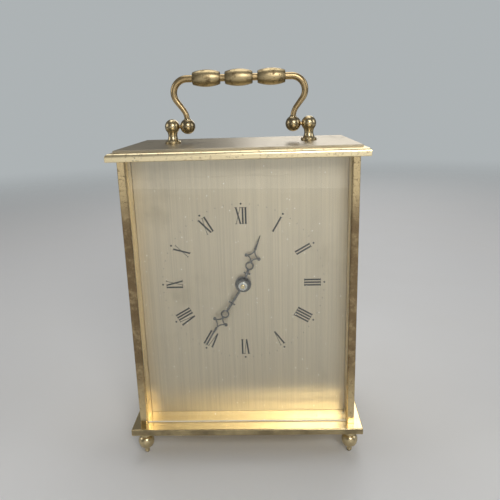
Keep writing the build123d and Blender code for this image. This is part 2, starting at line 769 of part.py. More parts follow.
# --- Motion work: cannon pinion, minute wheel and hour wheel, 12 to 1 -----------------------
motion_y = web_y - 1.0       # back of the minute wheel
cannon_phase = 60.0
minute_phase = meshing_phase(cannon_phase, cannon_teeth, minute_teeth, 60)
hour_pinion_phase = 240.0
hour_phase = meshing_phase(hour_pinion_phase, hour_pinion_teeth, hour_teeth, 240)
setting_phase = meshing_phase(minute_phase, minute_teeth, cannon_teeth, 0)
hour_wheel_y = motion_y - 1.6
cannon_front = dial_y - minute_hand_lift - hand_thickness - 0.7
hour_front = dial_y - hour_hand_lift - hand_thickness - 0.1

with BuildPart() as cannon_pinion:
    with BuildSketch(on_dial(motion_y + 0.2)):
        Polygon(*tooth_points(cannon_teeth, minute_module, cannon_phase), align=None)
    extrude(amount=1.2)
    with BuildSketch(on_dial(motion_y + 0.2)):
        Circle(cannon_pipe_radius)
    extrude(amount=motion_y + 0.2 - cannon_front)
    with BuildSketch(on_dial(motion_y + 0.2)):
        Circle(arbor_radius + seated)
    extrude(amount=motion_y + 0.2 - cannon_front, mode=Mode.SUBTRACT)
save(cannon_pinion, "cannon_pinion")

with BuildPart() as minute_wheel:
    with BuildSketch(on_dial(motion_y, minute_place)):
        Polygon(*tooth_points(minute_teeth, minute_module, minute_phase), align=None)
    extrude(amount=wheel_thickness)
    with BuildSketch(on_dial(motion_y, minute_place)):
        Polygon(*tooth_points(hour_pinion_teeth, hour_module, hour_pinion_phase), align=None)
    extrude(amount=motion_y - dial_back_y - 0.4)
    with BuildSketch(on_dial(motion_y + 0.6, minute_place)):
        Circle(1.8)
    extrude(amount=0.6)
    with BuildSketch(on_dial(motion_y + 0.6, minute_place)):
        Circle(minute_stud_radius + running)
    extrude(amount=motion_y + 0.6 - dial_back_y, mode=Mode.SUBTRACT)
    with BuildSketch(on_dial(motion_y, minute_place)):
        with PolarLocations(5.2, 5):
            Circle(1.9)
    extrude(amount=wheel_thickness, mode=Mode.SUBTRACT)
save(minute_wheel, "minute_wheel")

with BuildPart() as hour_wheel:
    with BuildSketch(on_dial(hour_wheel_y)):
        Polygon(*tooth_points(hour_teeth, hour_module, hour_phase), align=None)
    extrude(amount=wheel_thickness)
    with BuildSketch(on_dial(hour_wheel_y)):
        with PolarLocations(6.0, 5):
            Circle(2.1)
    extrude(amount=wheel_thickness, mode=Mode.SUBTRACT)
    with BuildSketch(on_dial(hour_wheel_y)):
        Circle(hour_pipe_radius)
    extrude(amount=hour_wheel_y - hour_front)
    with BuildSketch(on_dial(hour_wheel_y)):
        Circle(cannon_pipe_radius + running)
    extrude(amount=hour_wheel_y - hour_front, mode=Mode.SUBTRACT)
save(hour_wheel, "hour_wheel")

# --- Hands: boss, stem with a cross-bar, ring, concave diamond with two beads, slim tip ------
stem_width = 1.0
cross_bar = (3.0, 0.6)
ring_radius = 1.85
ring_width = 0.6
frame_width = 0.5
bead_radius = 0.72
bead_spread = 2.85           # beads' distance from the hand's middle line
joint_radius = 0.55
tip_half_widths = (0.45, 0.12)
hour_marks = (5.3, 8.8, 13.0, 16.75, 23.0)        # cross-bar, ring, beads, apex and tip
minute_marks = (9.4, 15.3, 19.5, 23.3, 32.6)
hands = (
    ("hour_hand", hour_hand_lift, hour_hand_angle, 3.5, hour_pipe_radius, hour_marks),
    ("minute_hand", minute_hand_lift, minute_hand_angle, 2.75, cannon_pipe_radius, minute_marks),
)
for label, lift, angle, boss, bore, (bar_at, ring_at, bead_at, apex_at, tip_at) in hands:
    diamond_start = ring_at + ring_radius
    stem_length = ring_at - ring_radius - boss + 2 * frame_width
    root_half, end_half = tip_half_widths
    with BuildPart() as clock_hand:
        with BuildSketch(facing(dial_y - lift, 0, dial_z, angle)):
            Circle(boss)
            with Locations((0, (ring_at - ring_radius + boss) / 2)):
                Rectangle(stem_width, stem_length)
            with Locations((0, bar_at)):
                Rectangle(*cross_bar)
            with Locations((0, ring_at)):
                Circle(ring_radius)
                Circle(ring_radius - ring_width, mode=Mode.SUBTRACT)
            for corner_x in (-bead_spread, bead_spread):
                for start_at in (diamond_start, apex_at):
                    pull = (0.32 * corner_x, 0.68 * bead_at + 0.32 * start_at)
                    with BuildLine() as diamond_side:
                        ThreePointArc((0, start_at), pull, (corner_x, bead_at))
                    trace(line_width=frame_width)
            with Locations((-bead_spread, bead_at), (bead_spread, bead_at)):
                Circle(bead_radius)
            with Locations((0, diamond_start), (0, apex_at)):
                Circle(joint_radius)
            Polygon(
                (-root_half, apex_at), (root_half, apex_at), (end_half, tip_at), (-end_half, tip_at),
                align=None,
            )
            Circle(bore + seated, mode=Mode.SUBTRACT)
        extrude(amount=hand_thickness)
    save(clock_hand, label)

hand_nut_seat = dial_y - minute_hand_lift - hand_thickness
hand_nut_radius = 2.0
hand_nut_crown = 1.1         # radius of the nut's raised middle
with BuildPart() as hand_nut:
    with BuildSketch(on_dial(hand_nut_seat)):
        Circle(hand_nut_radius)
    extrude(amount=0.9)
    fillet(hand_nut.edges().group_by(Axis.Y)[0], radius=0.3)
    with BuildSketch(on_dial(hand_nut_seat)):
        Circle(hand_nut_crown)
    extrude(amount=1.6)
    fillet(hand_nut.edges().group_by(Axis.Y)[0], radius=0.5)
    with BuildSketch(on_dial(hand_nut_seat)):
        Circle(cannon_pipe_radius + seated)
    extrude(amount=0.7 + seated, mode=Mode.SUBTRACT)
save(hand_nut, "hand_nut")

# --- Setting arbor and knob -----------------------------------------------------------------
setting_knob_y = movement_end_y + nut_thickness + 1.2
setting_front = motion_y - wheel_thickness - 0.6
with BuildPart() as setting_arbor:
    with BuildSketch(on_dial(motion_y + 0.3, setting_place)):
        Polygon(*tooth_points(cannon_teeth, minute_module, setting_phase), align=None)
    extrude(amount=wheel_thickness + 0.6)
    with BuildSketch(on_dial(setting_knob_y + setting_knob_length - 1.5, setting_place)):
        Circle(setting_arbor_radius)
    extrude(amount=setting_knob_y + setting_knob_length - 1.5 - setting_front)
save(setting_arbor, "setting_arbor")

knob_flutes = 20
with BuildPart() as setting_knob:
    with BuildSketch(on_dial(setting_knob_y + setting_knob_length, setting_place)):
        Circle(setting_knob_radius)
        with PolarLocations(setting_knob_radius + 0.25, knob_flutes):
            Circle(0.6, mode=Mode.SUBTRACT)
    extrude(amount=setting_knob_length)
    with BuildSketch(on_dial(setting_knob_y + setting_knob_length - 1.5, setting_place)):
        Circle(setting_arbor_radius + seated)
    extrude(amount=setting_knob_length, mode=Mode.SUBTRACT)
save(setting_knob, "setting_knob")

# --- Going train: each wheel with its pinion and arbor --------------------------------------
centre_phase = 0.0
third_pinion_phase = meshing_phase(centre_phase, centre_teeth, third_pinion_teeth, 180)
third_phase = 0.0
fourth_pinion_phase = meshing_phase(third_phase, third_teeth, fourth_pinion_teeth, -75)
fourth_phase = 0.0
index_pinion_phase = meshing_phase(fourth_phase, fourth_teeth, index_pinion_teeth, -60)

with BuildPart() as centre_wheel:
    with BuildSketch(on_dial(train_level[0] + wheel_thickness)):
        Polygon(*tooth_points(centre_teeth, centre_module, centre_phase), align=None)
        with PolarLocations(7.6, 5):
            Circle(3.2, mode=Mode.SUBTRACT)
    extrude(amount=wheel_thickness)
    with BuildSketch(on_dial(train_level[0] + wheel_thickness + 0.8)):
        Circle(2.2)
    extrude(amount=0.8)
    with BuildSketch(on_dial(movement_end_y)):
        Circle(arbor_radius)
    extrude(amount=movement_end_y - cannon_front - 0.5)
save(centre_wheel, "centre_wheel")

train = (
    (
        "third_wheel", third_place, train_level[1], train_level[0] + wheel_thickness / 2,
        (third_teeth, third_module, third_phase),
        (third_pinion_teeth, centre_module, third_pinion_phase), (6.4, 2.6),
    ),
    (
        "fourth_wheel", fourth_place, train_level[2], train_level[1] + wheel_thickness / 2,
        (fourth_teeth, fourth_module, fourth_phase),
        (fourth_pinion_teeth, third_module, fourth_pinion_phase), (5.2, 2.2),
    ),
    (
        "index_wheel", index_place, train_level[3], train_level[2] + wheel_thickness / 2,
        (index_teeth, index_module, 9.0),
        (index_pinion_teeth, fourth_module, index_pinion_phase), (2.4, 0.7),
    ),
)
for label, place, wheel_y, pinion_y, wheel, pinion, (hole_ring, hole_radius) in train:
    with BuildPart() as train_wheel:
        with BuildSketch(on_dial(wheel_y + wheel_thickness, place)):
            Polygon(*tooth_points(*wheel), align=None)
            with PolarLocations(hole_ring, 5):
                Circle(hole_radius, mode=Mode.SUBTRACT)
        extrude(amount=wheel_thickness)
        with BuildSketch(on_dial(pinion_y + pinion_length / 2, place)):
            Polygon(*tooth_points(*pinion), align=None)
        extrude(amount=pinion_length)
        with BuildSketch(on_dial(back_plate_y - 0.2, place)):
            Circle(train_arbor_radius)
        extrude(amount=movement_space - 0.4)
        with BuildSketch(on_dial(movement_end_y - slip, place)):
            Circle(pivot_radius)
        extrude(amount=movement_space + 2 * movement_plate - 2 * slip)
    save(train_wheel, label)

# --- Index lever: two pallets by the index wheel, a fork by the balance's roller ------------
index_tip = index_teeth * index_module / 2 + 0.8 * index_module
lever_y = train_level[3]
roller_radius = 1.6
fork_gap = 1.3               # from the fork's arm to the roller
fork_length = balance_radius + train_arbor_radius + lever_clearance - roller_radius - fork_gap
arm_width = 1.1
prong_x, prong_spread = 1.6, 0.9
pallet_x, pallet_spread = -1.3, 4.6
with BuildPart() as index_lever:
    with BuildSketch(on_dial(lever_y + wheel_thickness, lever_place)):
        Circle(1.5)
        with Locations((fork_length / 2, 0)):
            Rectangle(fork_length, arm_width)
        for lever_side in (-1, 1):
            with Locations((fork_length, lever_side * prong_spread)):
                Rectangle(prong_x, 0.5)
            with Locations((-0.4, lever_side * pallet_spread / 2)):
                Rectangle(arm_width, pallet_spread)
            with Locations((pallet_x, lever_side * pallet_spread)):
                Rectangle(-2 * pallet_x, 0.8)
        with Locations((fork_length - prong_x / 4, 0)):
            Rectangle(prong_x / 2, 2 * prong_spread + 0.5)
    extrude(amount=wheel_thickness)
    with BuildSketch(on_dial(back_plate_y - 0.2, lever_place)):
        Circle(train_arbor_radius)
    extrude(amount=movement_space - 0.4)
    with BuildSketch(on_dial(movement_end_y - slip, lever_place)):
        Circle(pivot_radius)
    extrude(amount=movement_space + 2 * movement_plate - 2 * slip)
save(index_lever, "index_lever")

# --- Balance wheel, hairspring and regulator ------------------------------------------------
balance_y = train_level[3] + 1.6
balance_rim = balance_radius - balance_rim_width
collet_radius = 1.0
rim_thickness = 1.2
spoke_width = 1.6
with BuildPart() as balance_wheel:
    with BuildSketch(on_dial(balance_y + rim_thickness, balance_place)):
        Circle(balance_radius)
        Circle(balance_rim, mode=Mode.SUBTRACT)
        Rectangle(2 * balance_rim + 0.4, spoke_width)
        Circle(roller_radius + 0.4)
    extrude(amount=rim_thickness)
    with BuildSketch(on_dial(lever_y + wheel_thickness, balance_place)):
        Circle(roller_radius)
        with Locations((-roller_radius, 0)):
            Circle(0.35)
    extrude(amount=wheel_thickness)
    with BuildSketch(on_dial(back_plate_y - 0.2, balance_place)):
        Circle(collet_radius)
    extrude(amount=back_plate_y - 0.2 - balance_y)
    with BuildSketch(on_dial(back_plate_y - 0.2, balance_place)):
        Circle(train_arbor_radius)
    extrude(amount=movement_space - 0.4)
    with BuildSketch(on_dial(movement_end_y - slip, balance_place)):
        Circle(pivot_radius)
    extrude(amount=movement_space + 2 * movement_plate - 2 * slip)
    with BuildSketch(on_dial(balance_y, balance_place)):
        with PolarLocations((balance_radius + balance_rim) / 2, 2):
            Circle(0.75)
    extrude(amount=0.5)
save(balance_wheel, "balance_wheel")

spring_y = balance_y + 2.4
spring_strip = 0.16
spring_inner = collet_radius + 0.35
spring_step = 0.42           # growth of radius in each half turn
spring_half_turns = 11
with BuildPart() as hairspring:
    with BuildSketch(on_dial(spring_y + 0.8, balance_place)):
        with BuildLine():
            start_x = -spring_inner
            for index in range(spring_half_turns):
                direction = -1 if index % 2 else 1
                end_x = direction * (spring_inner + (index + 1) * spring_step)
                middle = ((start_x + end_x) / 2, direction * abs(end_x - start_x) / 2)
                ThreePointArc((start_x, 0), middle, (end_x, 0))
                start_x = end_x
        trace(line_width=spring_strip)
        with Locations((start_x, 0.6)):
            Rectangle(1.2, 1.2)
    extrude(amount=0.8)
save(hairspring, "hairspring")

regulator_angle = 35.0       # clock angle of the pointer at rest
regulator_length = 14.0
regulator_plane = facing(
    movement_end_y + 0.9, balance_place[0], dial_z + balance_place[1], regulator_angle
)
with BuildPart() as regulator_lever:
    with BuildSketch(regulator_plane):
        Circle(boss_radius + 1.4)
        Polygon(
            (-1.1, boss_radius), (1.1, boss_radius), (0.5, regulator_length), (-0.5, regulator_length),
            align=None,
        )
        Circle(boss_radius + running, mode=Mode.SUBTRACT)
    extrude(amount=0.8)
save(regulator_lever, "regulator_lever")

# --- Circuit board and drive coil -----------------------------------------------------------
board_thickness = 1.2
board_size = (27.0, 20.0)
board_place = (balance_place[0] + 4.5, balance_place[1] + 1.0)
chip_height = 3.2            # parts on the board: a chip, a crystal can and a resistor
can_height = 2.6
can_radius = 2.0
resistor_size = (5.0, 1.6)
coil_place = (balance_place[0] + (balance_radius + balance_rim) / 2, balance_place[1])
coil_radius = 3.6
coil_flange = 0.8
coil_bore_radius = 1.1
coil_foot_y = train_y + board_thickness
coil_end_y = balance_y - 1.0
with BuildPart() as circuit_board:
    with BuildSketch(on_dial(train_y + board_thickness, board_place)):
        Rectangle(*board_size)
    extrude(amount=board_thickness)
    with BuildSketch(on_dial(train_y + board_thickness, balance_place)):
        Circle(train_arbor_radius + 1.2)
    extrude(amount=board_thickness, mode=Mode.SUBTRACT)
    with BuildSketch(facing(train_y + board_thickness)):
        with Locations(*movement_posts):
            Circle(pillar_post_radius + 0.5)
    extrude(amount=board_thickness, mode=Mode.SUBTRACT)
    with BuildSketch(on_dial(coil_foot_y + can_height, board_place)):
        with Locations((8.5, 7.0)):
            Circle(can_radius)
    extrude(amount=can_height)
    with BuildSketch(on_dial(coil_foot_y + chip_height, board_place)):
        with Locations((-9.5, -6.0)):
            Rectangle(4.4, 3.0)
    extrude(amount=chip_height)
    with BuildSketch(on_dial(coil_foot_y + resistor_size[1], board_place)):
        with Locations((-0.5, -7.6)):
            Rectangle(*resistor_size)
    extrude(amount=resistor_size[1])
save(circuit_board, "circuit_board")

with BuildPart() as drive_coil:
    for start, length, radius in (
        (coil_foot_y, coil_flange, coil_radius),
        (coil_foot_y + coil_flange, coil_end_y - coil_foot_y - 2 * coil_flange, coil_radius - 0.5),
        (coil_end_y - coil_flange, coil_flange, coil_radius),
    ):
        with BuildSketch(on_dial(start + length, coil_place)):
            Circle(radius)
        extrude(amount=length)
    with BuildSketch(on_dial(coil_end_y, coil_place)):
        Circle(coil_bore_radius)
    extrude(amount=coil_end_y - coil_foot_y, mode=Mode.SUBTRACT)
save(drive_coil, "drive_coil")

# --- Battery holder, cell and contacts ------------------------------------------------------
contact_thickness = 0.5
room_left = cell_length / 2 + spring_room
room_right = cell_length / 2 + cell_nub_length + contact_thickness + slip
holder_width = room_left + room_right + 2 * holder_wall
holder_x = (room_right - room_left) / 2
holder_depth = 2 * cell_radius + 2 * slip + 2 * holder_wall
cell_start_x = -cell_length / 2
with BuildPart() as battery_holder:
    with BuildSketch(Plane.XY.offset(floor_z)):
        with Locations((holder_x, cell_y)):
            Rectangle(holder_width, holder_depth)
    extrude(amount=holder_end_height)
    with BuildSketch(Plane.XY.offset(floor_z + holder_wall)):
        with Locations((holder_x, cell_y)):
            Rectangle(holder_width - 2 * holder_wall, holder_depth - 2 * holder_wall)
    extrude(amount=holder_end_height, mode=Mode.SUBTRACT)
    with BuildSketch(Plane.XY.offset(floor_z + holder_side_height)):
        with Locations((holder_x, cell_y)):
            Rectangle(holder_width - 2 * holder_wall, holder_depth + 2)
    extrude(amount=holder_end_height, mode=Mode.SUBTRACT)
save(battery_holder, "battery_holder")

with BuildPart() as battery_cell:
    with BuildSketch(Plane.YZ.offset(cell_start_x)):
        with Locations((cell_y, cell_z)):
            Circle(cell_radius)
    extrude(amount=cell_length)
    fillet(battery_cell.edges(), radius=0.6)
    with BuildSketch(Plane.YZ.offset(cell_start_x + cell_length)):
        with Locations((cell_y, cell_z)):
            Circle(cell_nub_radius)
    extrude(amount=cell_nub_length)
save(battery_cell, "battery_cell")

spring_wire = 0.35
spring_radius = 5.0
spring_turns = 3
spring_height = spring_room - 2 * spring_wire - 2 * slip
spring_start_x = cell_start_x - spring_room + spring_wire + slip
spring_start = (spring_start_x, cell_y, cell_z)
spring_pitch = spring_height / spring_turns
with BuildPart() as contact_spring:
    with BuildLine() as spring_path:
        Helix(spring_pitch, spring_height, spring_radius, center=spring_start, direction=(1, 0, 0))
    with BuildSketch(Plane(origin=spring_path.line @ 0, z_dir=spring_path.line % 0)):
        Circle(spring_wire)
    sweep()
save(contact_spring, "contact_spring")

contact_plate_size = (12.0, 13.0)
with BuildPart() as contact_plate:
    with BuildSketch(Plane.YZ.offset(cell_length / 2 + cell_nub_length + slip)):
        with Locations((cell_y, cell_z)):
            Rectangle(*contact_plate_size)
    extrude(amount=contact_thickness - slip)
    fillet(contact_plate.edges().filter_by(Axis.X), radius=1.5)
save(contact_plate, "contact_plate")
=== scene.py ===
"""Finishes and fine pieces of a brass carriage clock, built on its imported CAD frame.

Metres. +Z is up, the dial faces -Y, and clock angles run clockwise from twelve.
"""

import json
from math import cos, pi, radians, sin

import bmesh
import bpy
from mathutils import Matrix, Vector


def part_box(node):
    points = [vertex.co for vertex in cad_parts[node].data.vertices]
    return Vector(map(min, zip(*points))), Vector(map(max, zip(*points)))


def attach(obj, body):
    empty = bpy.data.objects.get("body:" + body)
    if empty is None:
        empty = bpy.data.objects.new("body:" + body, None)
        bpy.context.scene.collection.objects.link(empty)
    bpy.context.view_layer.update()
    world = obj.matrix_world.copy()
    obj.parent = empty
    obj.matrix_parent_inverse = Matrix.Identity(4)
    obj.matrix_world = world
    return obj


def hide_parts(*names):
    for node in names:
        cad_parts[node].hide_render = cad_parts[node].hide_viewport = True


bl_info = {
    "name": "Mantel Clock",
    "version": (1, 0, 0),
    "blender": (4, 5, 0),
    "location": "View3D > Sidebar > Mantel Clock",
    "description": "Finishes and fine pieces of a brass carriage clock",
    "category": "Object",
}

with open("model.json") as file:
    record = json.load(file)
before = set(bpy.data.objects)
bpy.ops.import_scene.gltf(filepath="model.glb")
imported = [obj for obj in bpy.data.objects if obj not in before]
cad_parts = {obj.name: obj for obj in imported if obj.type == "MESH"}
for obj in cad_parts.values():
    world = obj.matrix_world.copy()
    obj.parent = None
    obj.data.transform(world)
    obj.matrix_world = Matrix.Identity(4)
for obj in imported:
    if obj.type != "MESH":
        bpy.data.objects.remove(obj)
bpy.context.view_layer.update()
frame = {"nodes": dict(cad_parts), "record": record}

MM = 0.001
JOINTS = {joint["name"]: joint for joint in frame["record"]["behaviour"]["joints"]}
HANDS_AXIS = Vector(JOINTS["minute_turn"]["pos_m"])
HINGE = Vector(JOINTS["handle_swing"]["pos_m"])
DIAL_FACE_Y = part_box("dial_plate")[0].y
ROMAN = ("XII", "I", "II", "III", "IIII", "V", "VI", "VII", "VIII", "IX", "X", "XI")

# The handle's centre line, as the CAD rod has it: its neck leans out from the ball and bends in again.
BALL_X = 23.0 * MM
BEND_RADIUS = 5.8 * MM
HALF_BULGE = 28.2 * MM
LEAN = radians(37.0)
NECK_RISE = 2.5 * MM
NECK_STEPS = 12
BEND_STEPS = 24
BARREL_STEPS = 8

# The fine rod starts inside its ball, this far above the hinge, and tapers over this stretch.
ROD_SUNK = 1.2 * MM
TAPER_START = 4.0 * MM
TAPER_LENGTH = 16.0 * MM

# A handle ball is round up to this latitude. Its collar follows: a share of the rod's end for the
# radius, and a share of the ball's radius for the height.
BALL_ROUND_TO = radians(63.0)
BALL_COLLAR = ((1.36, 0.935), (1.16, 1.0), (0.98, 1.07))

# The printing starts just under the dial's face, so that no gap shows.
INK_SUNK = 0.01 * MM

# The floor fades out between these distances from the clock.
FLOOR_FADES = (0.4, 1.3)

# How much each kind of wear adds to a metal's roughness.
PIT_ROUGHNESS = 0.3
SCRATCH_ROUGHNESS = 0.12
DRIFT_ROUGHNESS = 0.06
BRUSH_ROUGHNESS = 0.05

# How far a pit's colour goes to its dark, what share of the worn colour that dark is, and how much
# lighter the metal drifts.
PIT_SHADE = 0.75
PIT_DARK = 0.35
DRIFT_LIGHT = 1.12

# A pit is this deep in millimetres, and a scratch is this share of it.
BUMP_DEPTH = 0.02
SCRATCH_DEPTH = 0.35

# The pillars' darker middle, a painted dark reflection in mottled brown, comes in between these heights
# above their feet, and goes out between these depths below their heads.
DARK_BAND_ABOVE_FOOT = (4.0 * MM, 34.0 * MM)
DARK_BAND_BELOW_HEAD = (30.0 * MM, 9.0 * MM)

# A barrel's painted shade goes out between these shares of its widest radius.
BARREL_SHADE_SPAN = (0.62, 0.97)

# The brass end of the arbor in the hands' nut: its radius, and where the steel has taken over.
ARBOR_TIP = (0.9 * MM, 1.0 * MM)

# Spans of the serifs, in thick strokes: of an I, and of another letter's thick and thin arms.
I_SERIF = 1.5
THICK_SERIF = 1.6
THIN_SERIF = 1.2

# Each rank of strokes is printed this share thinner than the one before, so that no two faces meet.
RANK_DROP = 0.2
DOT_SIDES = 16

FLOAT = "NodeSocketFloat"
VECTOR = "NodeSocketVector"


# --- Sizes and colours that a user would change ---------------------------------------------
def length(name, description, default):
    """A length property in metres, from a default in millimetres."""
    return bpy.props.FloatProperty(
        name=name, description=description, default=default * MM, unit="LENGTH", precision=5
    )


def colour(name, description, default):
    """A linear colour property."""
    return bpy.props.FloatVectorProperty(
        name=name, description=description, default=default, subtype="COLOR", size=3, min=0, max=1
    )


def share(name, description, default):
    """A property that runs from none to all."""
    return bpy.props.FloatProperty(
        name=name, description=description, default=default, subtype="FACTOR", min=0, max=1
    )


class ClockFinishes(bpy.types.PropertyGroup):
    """Colours and wear of the clock's metals and glass."""

    brass: colour("Brass", "Freshly polished brass", (0.82, 0.66, 0.37))
    warm_brass: colour("Warm brass", "Side walls and the door", (0.90, 0.745, 0.455))
    # Also the colour of the painted shade in the recesses of the turned pieces and the handle balls.
    tarnish: colour("Tarnish", "Dull brass where fingers and air have been at it", (0.26, 0.19, 0.10))
    # Colour of the painted shade on the barrels' narrow ends.
    barrel_end_shade: colour("Antique shade", "Brown towards the barrels' ends", (0.10, 0.072, 0.038))
    dial: colour("Dial", "Champagne-silver dial", (0.60, 0.525, 0.405))
    steel: colour("Dark steel", "Hands", (0.155, 0.15, 0.145))
    bright: colour("Bright steel", "Nut that holds the hands", (0.60, 0.60, 0.58))
    polish: share("Polish roughness", "Roughness of polished brass", 0.16)
    satin: share("Satin roughness", "Roughness of satin brass", 0.34)


class ClockDial(bpy.types.PropertyGroup):
    """Sizes of the dial's printing."""

    numeral_outer: length("Numerals' outer radius", "From the hands' axis", 33.6)
    numeral_height: length("Numerals' height", "Height of an hour numeral", 7.2)
    thick_stroke: length("Thick stroke", "Width of a numeral's main stroke", 0.72)
    thin_stroke: length("Thin stroke", "Width of a numeral's light stroke", 0.24)
    serif: length("Serif", "Thickness of a numeral's serifs", 0.2)
    dot_radius: length("Dots' ring", "Radius of the ring of dots", 35.1)
    hour_dot: length("Hour dot", "Diameter of an hour's dot", 0.85)
    minute_dot: length("Minute dot", "Diameter of a minute's dot", 0.34)
    ink: length("Ink", "Thickness of the printing", 0.03)


class ClockHandle(bpy.types.PropertyGroup):
    """Sizes of the handle's rod and balls."""

    rod_middle: length("Rod at the barrels", "Radius of the rod near the barrels", 1.5)
    rod_end: length("Rod at the balls", "Radius of the rod where it enters a ball", 1.15)
    ball: length("Ball", "Radius of a handle ball", 3.3)


class ClockStage(bpy.types.PropertyGroup):
    """Camera and floor."""

    lens: bpy.props.FloatProperty(name="Lens", description="Focal length in mm", default=38.22)
    yaw: bpy.props.FloatProperty(
        name="Yaw", description="Camera turned to the left", default=radians(2.07), subtype="ANGLE"
    )
    pitch: bpy.props.FloatProperty(
        name="Pitch", description="Camera tilted up", default=radians(-15.42), subtype="ANGLE"
    )
    roll: bpy.props.FloatProperty(
        name="Roll", description="Camera rolled", default=radians(1.67), subtype="ANGLE"
    )
    place: bpy.props.FloatVectorProperty(
        name="Place", description="Camera's place", default=(0.011253, -0.237463, 0.15247),
        subtype="TRANSLATION", unit="LENGTH",
    )
    floor: colour("Floor", "Floor", (0.78, 0.79, 0.80))


# --- Node helpers -----------------------------------------------------------------------------
def add(tree, kind, values=None, **settings):
    """A new node with its settings, and values on its unlinked inputs."""
    node = tree.nodes.new(kind)
    for key, value in settings.items():
        setattr(node, key, value)
    for key, value in (values or {}).items():
        node.inputs[key].default_value = value
    return node


def feed(tree, socket, value):
    """Link a socket to an input, or set the input to a value."""
    if isinstance(value, bpy.types.NodeSocket):
        tree.links.new(value, socket)
    else:
        socket.default_value = value


def maths(tree, operation, first, second=None, clamp=False):
    """A Math node whose inputs are sockets or numbers; returns its output."""
    node = add(tree, "ShaderNodeMath", operation=operation, use_clamp=clamp)
    feed(tree, node.inputs[0], first)
    if second is not None:
        feed(tree, node.inputs[1], second)
    return node.outputs[0]


def ramp(tree, value, low, high, to_low=0.0, to_high=1.0):
    """A smooth step of a value from low to high; returns its output."""
    node = add(tree, "ShaderNodeMapRange", interpolation_type="SMOOTHSTEP")
    for key, number in zip(("Value", "From Min", "From Max", "To Min", "To Max"),
                           (value, low, high, to_low, to_high)):
        feed(tree, node.inputs[key], number)
    return node.outputs["Result"]


def blend(tree, factor, first, second):
    """A colour mix whose sides are sockets or colours; returns its output."""
    node = add(tree, "ShaderNodeMix", data_type="RGBA")
    tree.links.new(factor, node.inputs["Factor"])
    for socket, value in ((node.inputs[6], first), (node.inputs[7], second)):
        is_socket = isinstance(value, bpy.types.NodeSocket)
        feed(tree, socket, value if is_socket else (*value[:3], 1.0))
    return node.outputs[2]


def object_place(tree):
    """The place of a surface point in the piece's own frame, which is the clock's frame at rest."""
    return add(tree, "ShaderNodeTexCoord").outputs["Object"]


def facing(tree, axis):
    """How squarely a surface faces along an axis, either way, from 0 to 1."""
    split = add(tree, "ShaderNodeSeparateXYZ")
    tree.links.new(add(tree, "ShaderNodeNewGeometry").outputs["Normal"], split.inputs[0])
    return maths(tree, "ABSOLUTE", split.outputs[axis])


def axis_distance(tree, across, centre):
    """Distance from an axis through a centre; across is 1 in the two directions square to the axis."""
    flat = add(tree, "ShaderNodeVectorMath", {1: across}, operation="MULTIPLY")
    tree.links.new(object_place(tree), flat.inputs[0])
    reach = add(tree, "ShaderNodeVectorMath", {1: centre}, operation="DISTANCE")
    tree.links.new(flat.outputs[0], reach.inputs[0])
    return reach.outputs["Value"]


def new_group(name, inputs, outputs):
    """A shader node group with named sockets; returns its tree, input node and output node."""
    tree = bpy.data.node_groups.new(name, "ShaderNodeTree")
    for label, kind, default in inputs:
        socket = tree.interface.new_socket(label, in_out="INPUT", socket_type=kind)
        if default is not None:
            socket.default_value = default
    for label, kind in outputs:
        tree.interface.new_socket(label, in_out="OUTPUT", socket_type=kind)
    return tree, add(tree, "NodeGroupInput"), add(tree, "NodeGroupOutput")


def noise(tree, vector, scale, detail=4.0, roughness=0.55):
    """A noise texture's value; the scale is a socket or a number."""
    node = add(tree, "ShaderNodeTexNoise", {"Detail": detail, "Roughness": roughness})
    tree.links.new(vector, node.inputs["Vector"])
    feed(tree, node.inputs["Scale"], scale)
    return node.outputs["Fac"]


def metal_wear_group():
    """Blotches of tarnish, small pits and hairline scratches, each as a mask."""
    tree, given, result = new_group(
        "metal_wear",
        (("Vector", VECTOR, None), ("Blotch Scale", FLOAT, 90.0), ("Blotch Cover", FLOAT, 0.4),
         ("Pit Scale", FLOAT, 900.0), ("Pit Cover", FLOAT, 0.2), ("Scratch Scale", FLOAT, 120.0)),
        (("Blotches", FLOAT), ("Pits", FLOAT), ("Scratches", FLOAT)),
    )
    vector = given.outputs["Vector"]

    # More cover lowers the level of the noise at which blotches and crowds of pits start.
    broad = noise(tree, vector, given.outputs["Blotch Scale"], 6.0, 0.62)
    edge = maths(tree, "SUBTRACT", 0.74, maths(tree, "MULTIPLY", given.outputs["Blotch Cover"], 0.4))
    tree.links.new(ramp(tree, broad, edge, maths(tree, "ADD", edge, 0.2)), result.inputs["Blotches"])

    cells = add(tree, "ShaderNodeTexVoronoi")
    tree.links.new(vector, cells.inputs["Vector"])
    tree.links.new(given.outputs["Pit Scale"], cells.inputs["Scale"])
    chosen = noise(tree, vector, maths(tree, "MULTIPLY", given.outputs["Pit Scale"], 0.11), 3.0)
    limit = maths(tree, "SUBTRACT", 0.75, maths(tree, "MULTIPLY", given.outputs["Pit Cover"], 0.5))
    crowd = ramp(tree, chosen, limit, maths(tree, "ADD", limit, 0.18))
    spot = ramp(tree, cells.outputs["Distance"], 0.16, 0.42, 1.0, 0.0)
    tree.links.new(maths(tree, "MULTIPLY", spot, crowd), result.inputs["Pits"])

    lines = add(tree, "ShaderNodeTexVoronoi", {"Randomness": 1.0}, feature="DISTANCE_TO_EDGE")
    tree.links.new(vector, lines.inputs["Vector"])
    tree.links.new(given.outputs["Scratch Scale"], lines.inputs["Scale"])
    hair = ramp(tree, lines.outputs["Distance"], 0.0, 0.012, 1.0, 0.0)
    broken = ramp(tree, noise(tree, vector, given.outputs["Scratch Scale"], 2.0), 0.52, 0.62)
    tree.links.new(maths(tree, "MULTIPLY", hair, broken), result.inputs["Scratches"])
    return tree


